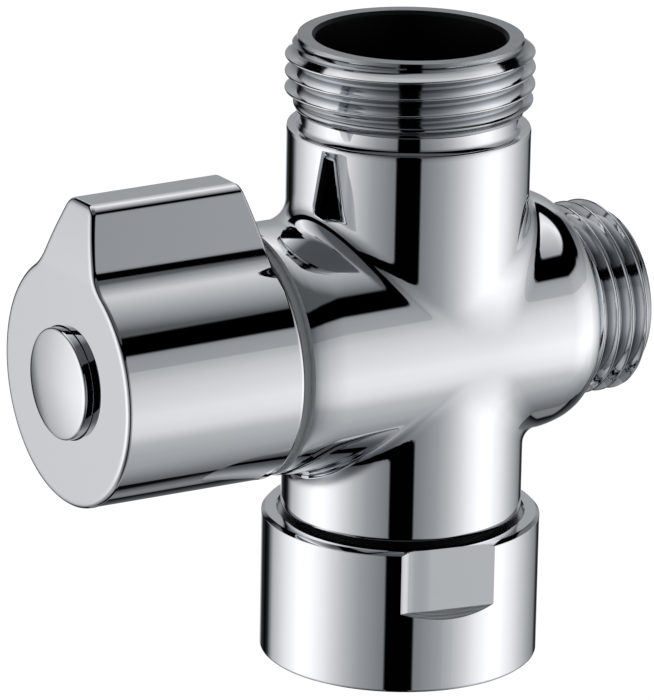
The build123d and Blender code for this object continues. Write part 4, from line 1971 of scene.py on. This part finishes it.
@dataclass
class Studio:
    """The white tent, the black column with the camera in it, the floor and the camera."""

    azimuth: float = -31.783
    elevation: float = 17.811
    reach: float = 629.844
    roll: float = 1.04
    lens: float = 305.706
    sensor: float = 36.0
    nearest: float = 10.0
    farthest: float = 20000.0
    target: tuple[float, float, float] = (-9.657, 0.0, 34.919)
    floor_radius: float = 1200.0
    floor_drop: float = 0.4
    floor_steps: int = 96
    floor_glow: float = 1.16
    floor_share: float = 0.85

    def back(self) -> Vector:
        """Find the way from the object to the camera.

        Returns:
            The direction, of length 1.
        """
        a, e = math.radians(self.azimuth), math.radians(self.elevation)
        return Vector((math.sin(a) * math.cos(e), -math.cos(a) * math.cos(e), math.sin(e)))

    def camera(self) -> None:
        """Place the camera where the photograph was taken from."""
        a, r = math.radians(self.azimuth), math.radians(self.roll)
        back = self.back()
        flat_right = Vector((math.cos(a), math.sin(a), 0.0))
        flat_up = back.cross(flat_right)
        right = flat_right * math.cos(r) + flat_up * math.sin(r)
        up = flat_up * math.cos(r) - flat_right * math.sin(r)
        data = bpy.data.cameras.new("camera")
        data.lens = self.lens
        data.sensor_width = self.sensor
        data.clip_start = self.nearest * MM
        data.clip_end = self.farthest * MM
        camera = bpy.data.objects.new("camera", data)
        bpy.context.scene.collection.objects.link(camera)
        place = (Vector(self.target) + back * self.reach) * MM
        turn = Matrix((right, up, back)).transposed().to_4x4()
        camera.matrix_world = Matrix.Translation(place) @ turn
        bpy.context.scene.camera = camera

    def world(self) -> None:
        """Light everything from a white tent, and show plain white behind the object.

        The tent has a bright panel on each side, a black slot for the camera, a black gap under
        its ceiling, a ceiling that is brightest above and behind the object, and a table that
        shows below the dark back wall. Its levels are given against the azimuth from the camera
        and the elevation, as a mirror would show them.
        """
        world = bpy.data.worlds.new("tent")
        bpy.context.scene.world = world
        world.use_nodes = True
        tree = world.node_tree
        tree.nodes.clear()
        ray = self._ray(tree)
        without_table = add_node(
            tree,
            "Mix",
            settings={"data_type": "FLOAT"},
            inputs={
                "0": self._ceiling_share(tree, ray),
                "2": self._wall_light(tree, ray),
                "3": self._levels(tree, ray.over, CEILING_TONES, tones=True),
            },
        )
        tent_light = add_node(
            tree,
            "Mix",
            settings={"data_type": "FLOAT"},
            inputs={
                "0": self._table_share(tree, ray),
                "2": without_table,
                "3": self._levels(tree, ray.elevation, TABLE_TONES, tones=True),
            },
        )
        cool = [
            (
                tent_level(tone),
                (tent_level(tone - tint), tent_level(tone), tent_level(tone + tint), 1.0),
            )
            for tone, tint in COOL_TINTS
        ]
        tinted = add_node(tree, "ValToRGB", inputs={"Fac": tent_light}, stops=cool)
        tent = add_node(tree, "Background", inputs={"Color": tinted, "Strength": TENT_STRENGTH})
        seen = add_node(tree, "Background", inputs={"Color": linear("#ffffff"), "Strength": 1.0})
        path = add_node(tree, "LightPath")
        mix = add_node(
            tree, "MixShader", inputs={"0": path.outputs["Is Camera Ray"], "1": tent, "2": seen}
        )
        add_node(tree, "OutputWorld", inputs={"Surface": mix})

    def _ray(self, tree: bpy.types.NodeTree) -> Ray:
        """Read where a ray goes, seen from the camera.

        Args:
            tree: The world's node tree.

        Returns:
            Its side and angles.
        """
        turned = add_node(
            tree,
            "Mapping",
            inputs={
                "Vector": add_node(tree, "TexCoord").outputs["Generated"],
                "Rotation": (0.0, 0.0, -math.radians(self.azimuth)),
            },
        )
        parts = add_node(tree, "SeparateXYZ", inputs={"Vector": turned})
        side, front, up = (parts.outputs[name] for name in ("X", "Y", "Z"))
        towards = add_node(
            tree, "Math", settings={"operation": "MULTIPLY"}, inputs={"0": front, "1": -1.0}
        )
        aside = add_node(tree, "Math", settings={"operation": "ABSOLUTE"}, inputs={"0": side})
        azimuth = add_node(
            tree, "Math", settings={"operation": "ARCTAN2"}, inputs={"0": aside, "1": towards}
        )
        elevation = add_node(tree, "Math", settings={"operation": "ARCSINE"}, inputs={"0": up})
        over = add_node(
            tree, "Math", settings={"operation": "ARCTAN2"}, inputs={"0": front, "1": up}
        )
        return Ray(
            side,
            azimuth=Sweep(azimuth, 0.0, 180.0),
            elevation=Sweep(elevation, -90.0, 90.0),
            over=Sweep(over, -180.0, 180.0),
        )

    def _wall_light(self, tree: bpy.types.NodeTree, ray: Ray) -> bpy.types.Node:
        """Light the walls, with the left one's back on its own.

        Args:
            tree: The world's node tree.
            ray: Where the ray goes.

        Returns:
            The node that gives the walls' light.
        """
        both = self._levels(tree, ray.azimuth, WALL_TONES, tones=True)
        left_back = self._levels(tree, ray.azimuth, LEFT_BACK_TONES, tones=True)
        left_start = self._levels(tree, ray.azimuth, LEFT_BACK_START)
        left = add_node(
            tree, "Math", settings={"operation": "LESS_THAN"}, inputs={"0": ray.side, "1": 0.0}
        )
        left_share = add_node(
            tree, "Math", settings={"operation": "MULTIPLY"}, inputs={"0": left, "1": left_start}
        )
        walls = add_node(
            tree,
            "Mix",
            settings={"data_type": "FLOAT"},
            inputs={"0": left_share, "2": both, "3": left_back},
        )
        heights = self._levels(tree, ray.elevation, HEIGHT_SHARES)
        return add_node(
            tree, "Math", settings={"operation": "MULTIPLY"}, inputs={"0": walls, "1": heights}
        )

    def _ceiling_share(self, tree: bpy.types.NodeTree, ray: Ray) -> bpy.types.Node:
        """Bound the ceiling, which reaches down behind the object.

        Args:
            tree: The world's node tree.
            ray: Where the ray goes.

        Returns:
            The node that gives 1 in the ceiling and 0 outside it.
        """
        above = self._levels(tree, ray.elevation, CEILING_START)
        behind_up = self._levels(tree, ray.elevation, BACK_START)
        wide_back = self._levels(tree, ray.azimuth, BACK_SIDES)
        gap_back = self._levels(tree, ray.azimuth, GAP_SIDES)
        gap_height = self._levels(tree, ray.elevation, GAP_HEIGHT)
        behind_round = add_node(
            tree,
            "Mix",
            settings={"data_type": "FLOAT"},
            inputs={"0": gap_height, "2": wide_back, "3": gap_back},
        )
        behind = add_node(
            tree,
            "Math",
            settings={"operation": "MULTIPLY"},
            inputs={"0": behind_up, "1": behind_round},
        )
        return add_node(
            tree, "Math", settings={"operation": "MAXIMUM"}, inputs={"0": above, "1": behind}
        )

    def _table_share(self, tree: bpy.types.NodeTree, ray: Ray) -> bpy.types.Node:
        """Bound the table, which shows low down behind the object.

        Args:
            tree: The world's node tree.
            ray: Where the ray goes.

        Returns:
            The node that gives 1 on the table and 0 outside it.
        """
        low = self._levels(tree, ray.elevation, TABLE_EDGE)
        back = self._levels(tree, ray.azimuth, TABLE_SIDES)
        return add_node(
            tree, "Math", settings={"operation": "MULTIPLY"}, inputs={"0": low, "1": back}
        )

    def _levels(
        self,
        tree: bpy.types.NodeTree,
        sweep: Sweep,
        levels: Sequence[tuple[float, float]],
        tones: bool = False,
    ) -> bpy.types.Node:
        """Look a light level up against an angle.

        Args:
            tree: The world's node tree.
            sweep: The angle with its range.
            levels: Angles in degrees with their tones of 0 to 255, or their shares of 0 to 1.
            tones: Whether the levels are tones.

        Returns:
            The node that gives the level.
        """
        share = add_node(
            tree,
            "MapRange",
            inputs={
                "Value": sweep.node,
                "From Min": math.radians(sweep.low),
                "From Max": math.radians(sweep.high),
            },
        )
        stops = [
            (
                (place - sweep.low) / (sweep.high - sweep.low),
                tent_level(level) if tones else level,
            )
            for place, level in levels
        ]
        return add_node(tree, "ValToRGB", inputs={"Fac": share}, stops=stops)

    def floor(self) -> None:
        """Lay the pale floor under the nut, which shows plain white and keeps a soft shadow."""
        maker = bmesh.new()
        radius = self.floor_radius * MM
        bmesh.ops.create_circle(maker, cap_ends=True, segments=self.floor_steps, radius=radius)
        bmesh.ops.translate(maker, vec=(0.0, 0.0, -self.floor_drop * MM), verts=maker.verts)
        mesh = bpy.data.meshes.new("floor")
        maker.to_mesh(mesh)
        maker.free()
        material, tree = fresh_material("white_card_floor")
        shade = add_node(tree, "BsdfDiffuse", inputs={"Color": linear("#f4f4f4")})
        glow = add_node(
            tree, "Emission", inputs={"Color": linear("#ffffff"), "Strength": self.floor_glow}
        )
        path = add_node(tree, "LightPath")
        part = add_node(
            tree,
            "Math",
            settings={"operation": "MULTIPLY"},
            inputs={"0": path.outputs["Is Camera Ray"], "1": self.floor_share},
        )
        mix = add_node(tree, "MixShader", inputs={"0": part, "1": shade, "2": glow})
        add_node(tree, "OutputMaterial", inputs={"Surface": mix})
        mesh.materials.append(material)
        floor = bpy.data.objects.new("floor", mesh)
        bpy.context.scene.collection.objects.link(floor)
        floor.visible_glossy = False

    def build(self) -> None:
        """Set the whole studio."""
        self.camera()
        self.world()
        self.floor()
        bpy.context.scene.view_settings.view_transform = "Standard"


def main() -> None:
    """Build every sub-assembly in order."""
    logging.basicConfig(level=logging.INFO, format="%(name)s %(message)s")
    # Buffed and plated bright, so casting, nut and knob mirror the tent with soft bends
    body_plate = PolishedChrome("chrome_plate_on_brass").material()
    knob_plate = PolishedChrome("chrome_plate_on_zinc").material()
    # Each thread is painted darker towards its root as shade in its grooves, so each turn shows a
    # bright line beside a duller one
    top = CutThreadPlate(
        "chrome_top_thread_painted_root_shade", Line.TUBE, root_radius=12.0, crest_radius=13.0
    )
    side = CutThreadPlate(
        "chrome_side_thread_painted_root_shade", Line.CROSS, root_radius=9.3, crest_radius=10.3
    )
    plates = {"top_thread": top.material(), "side_thread": side.material()}
    # Plate over the lathe's rings gives the outlets' rims a satin shine
    rim = TurnedMetal("plated_turned_rim", "#c2c6c9", "#aeb2b6", 0.26, Line.TUBE).material()
    # Blasting leaves the collar an even, matt light grey
    collar = DryBody("blasted_brass_collar", "#cfd4d8", "#c1c6ca", 0.7, 0.25, 0.006).material()
    # The bores are bare and ringed by the tool; their nearly black colour, also on the spigot and
    # inside the nut, is painted shade
    bore = TurnedMetal("bored_waterway_painted_shade", "#3b3c3b", "#2c2d2d", 0.4, Line.TUBE).material()
    # The knob's inside and its pocket wall are painted dark grey, as the shade within the shell
    painted_knob_shade = DryBody("knob_inside_painted_shade", "#2b2d2f", "#232527", 0.6, 0.5, 0.01).material()
    # The cap's skirt is painted nearly black, as the shade in the ring round the cap
    skirt = DryBody("cap_skirt_painted_gap_shade", "#0c0d0e", "#131415", 0.45, 0.3, 0.004).material()
    CastBody(Crossing()).build([body_plate, rim, bore, collar], plates)
    SwivelNut().build([body_plate, rim, bore])
    Knob().build([knob_plate, rim, painted_knob_shade])
    IndexCap().build([knob_plate, rim, skirt])
    Innards().dress()
    Studio().build()


if __name__ == "__main__":
    main()
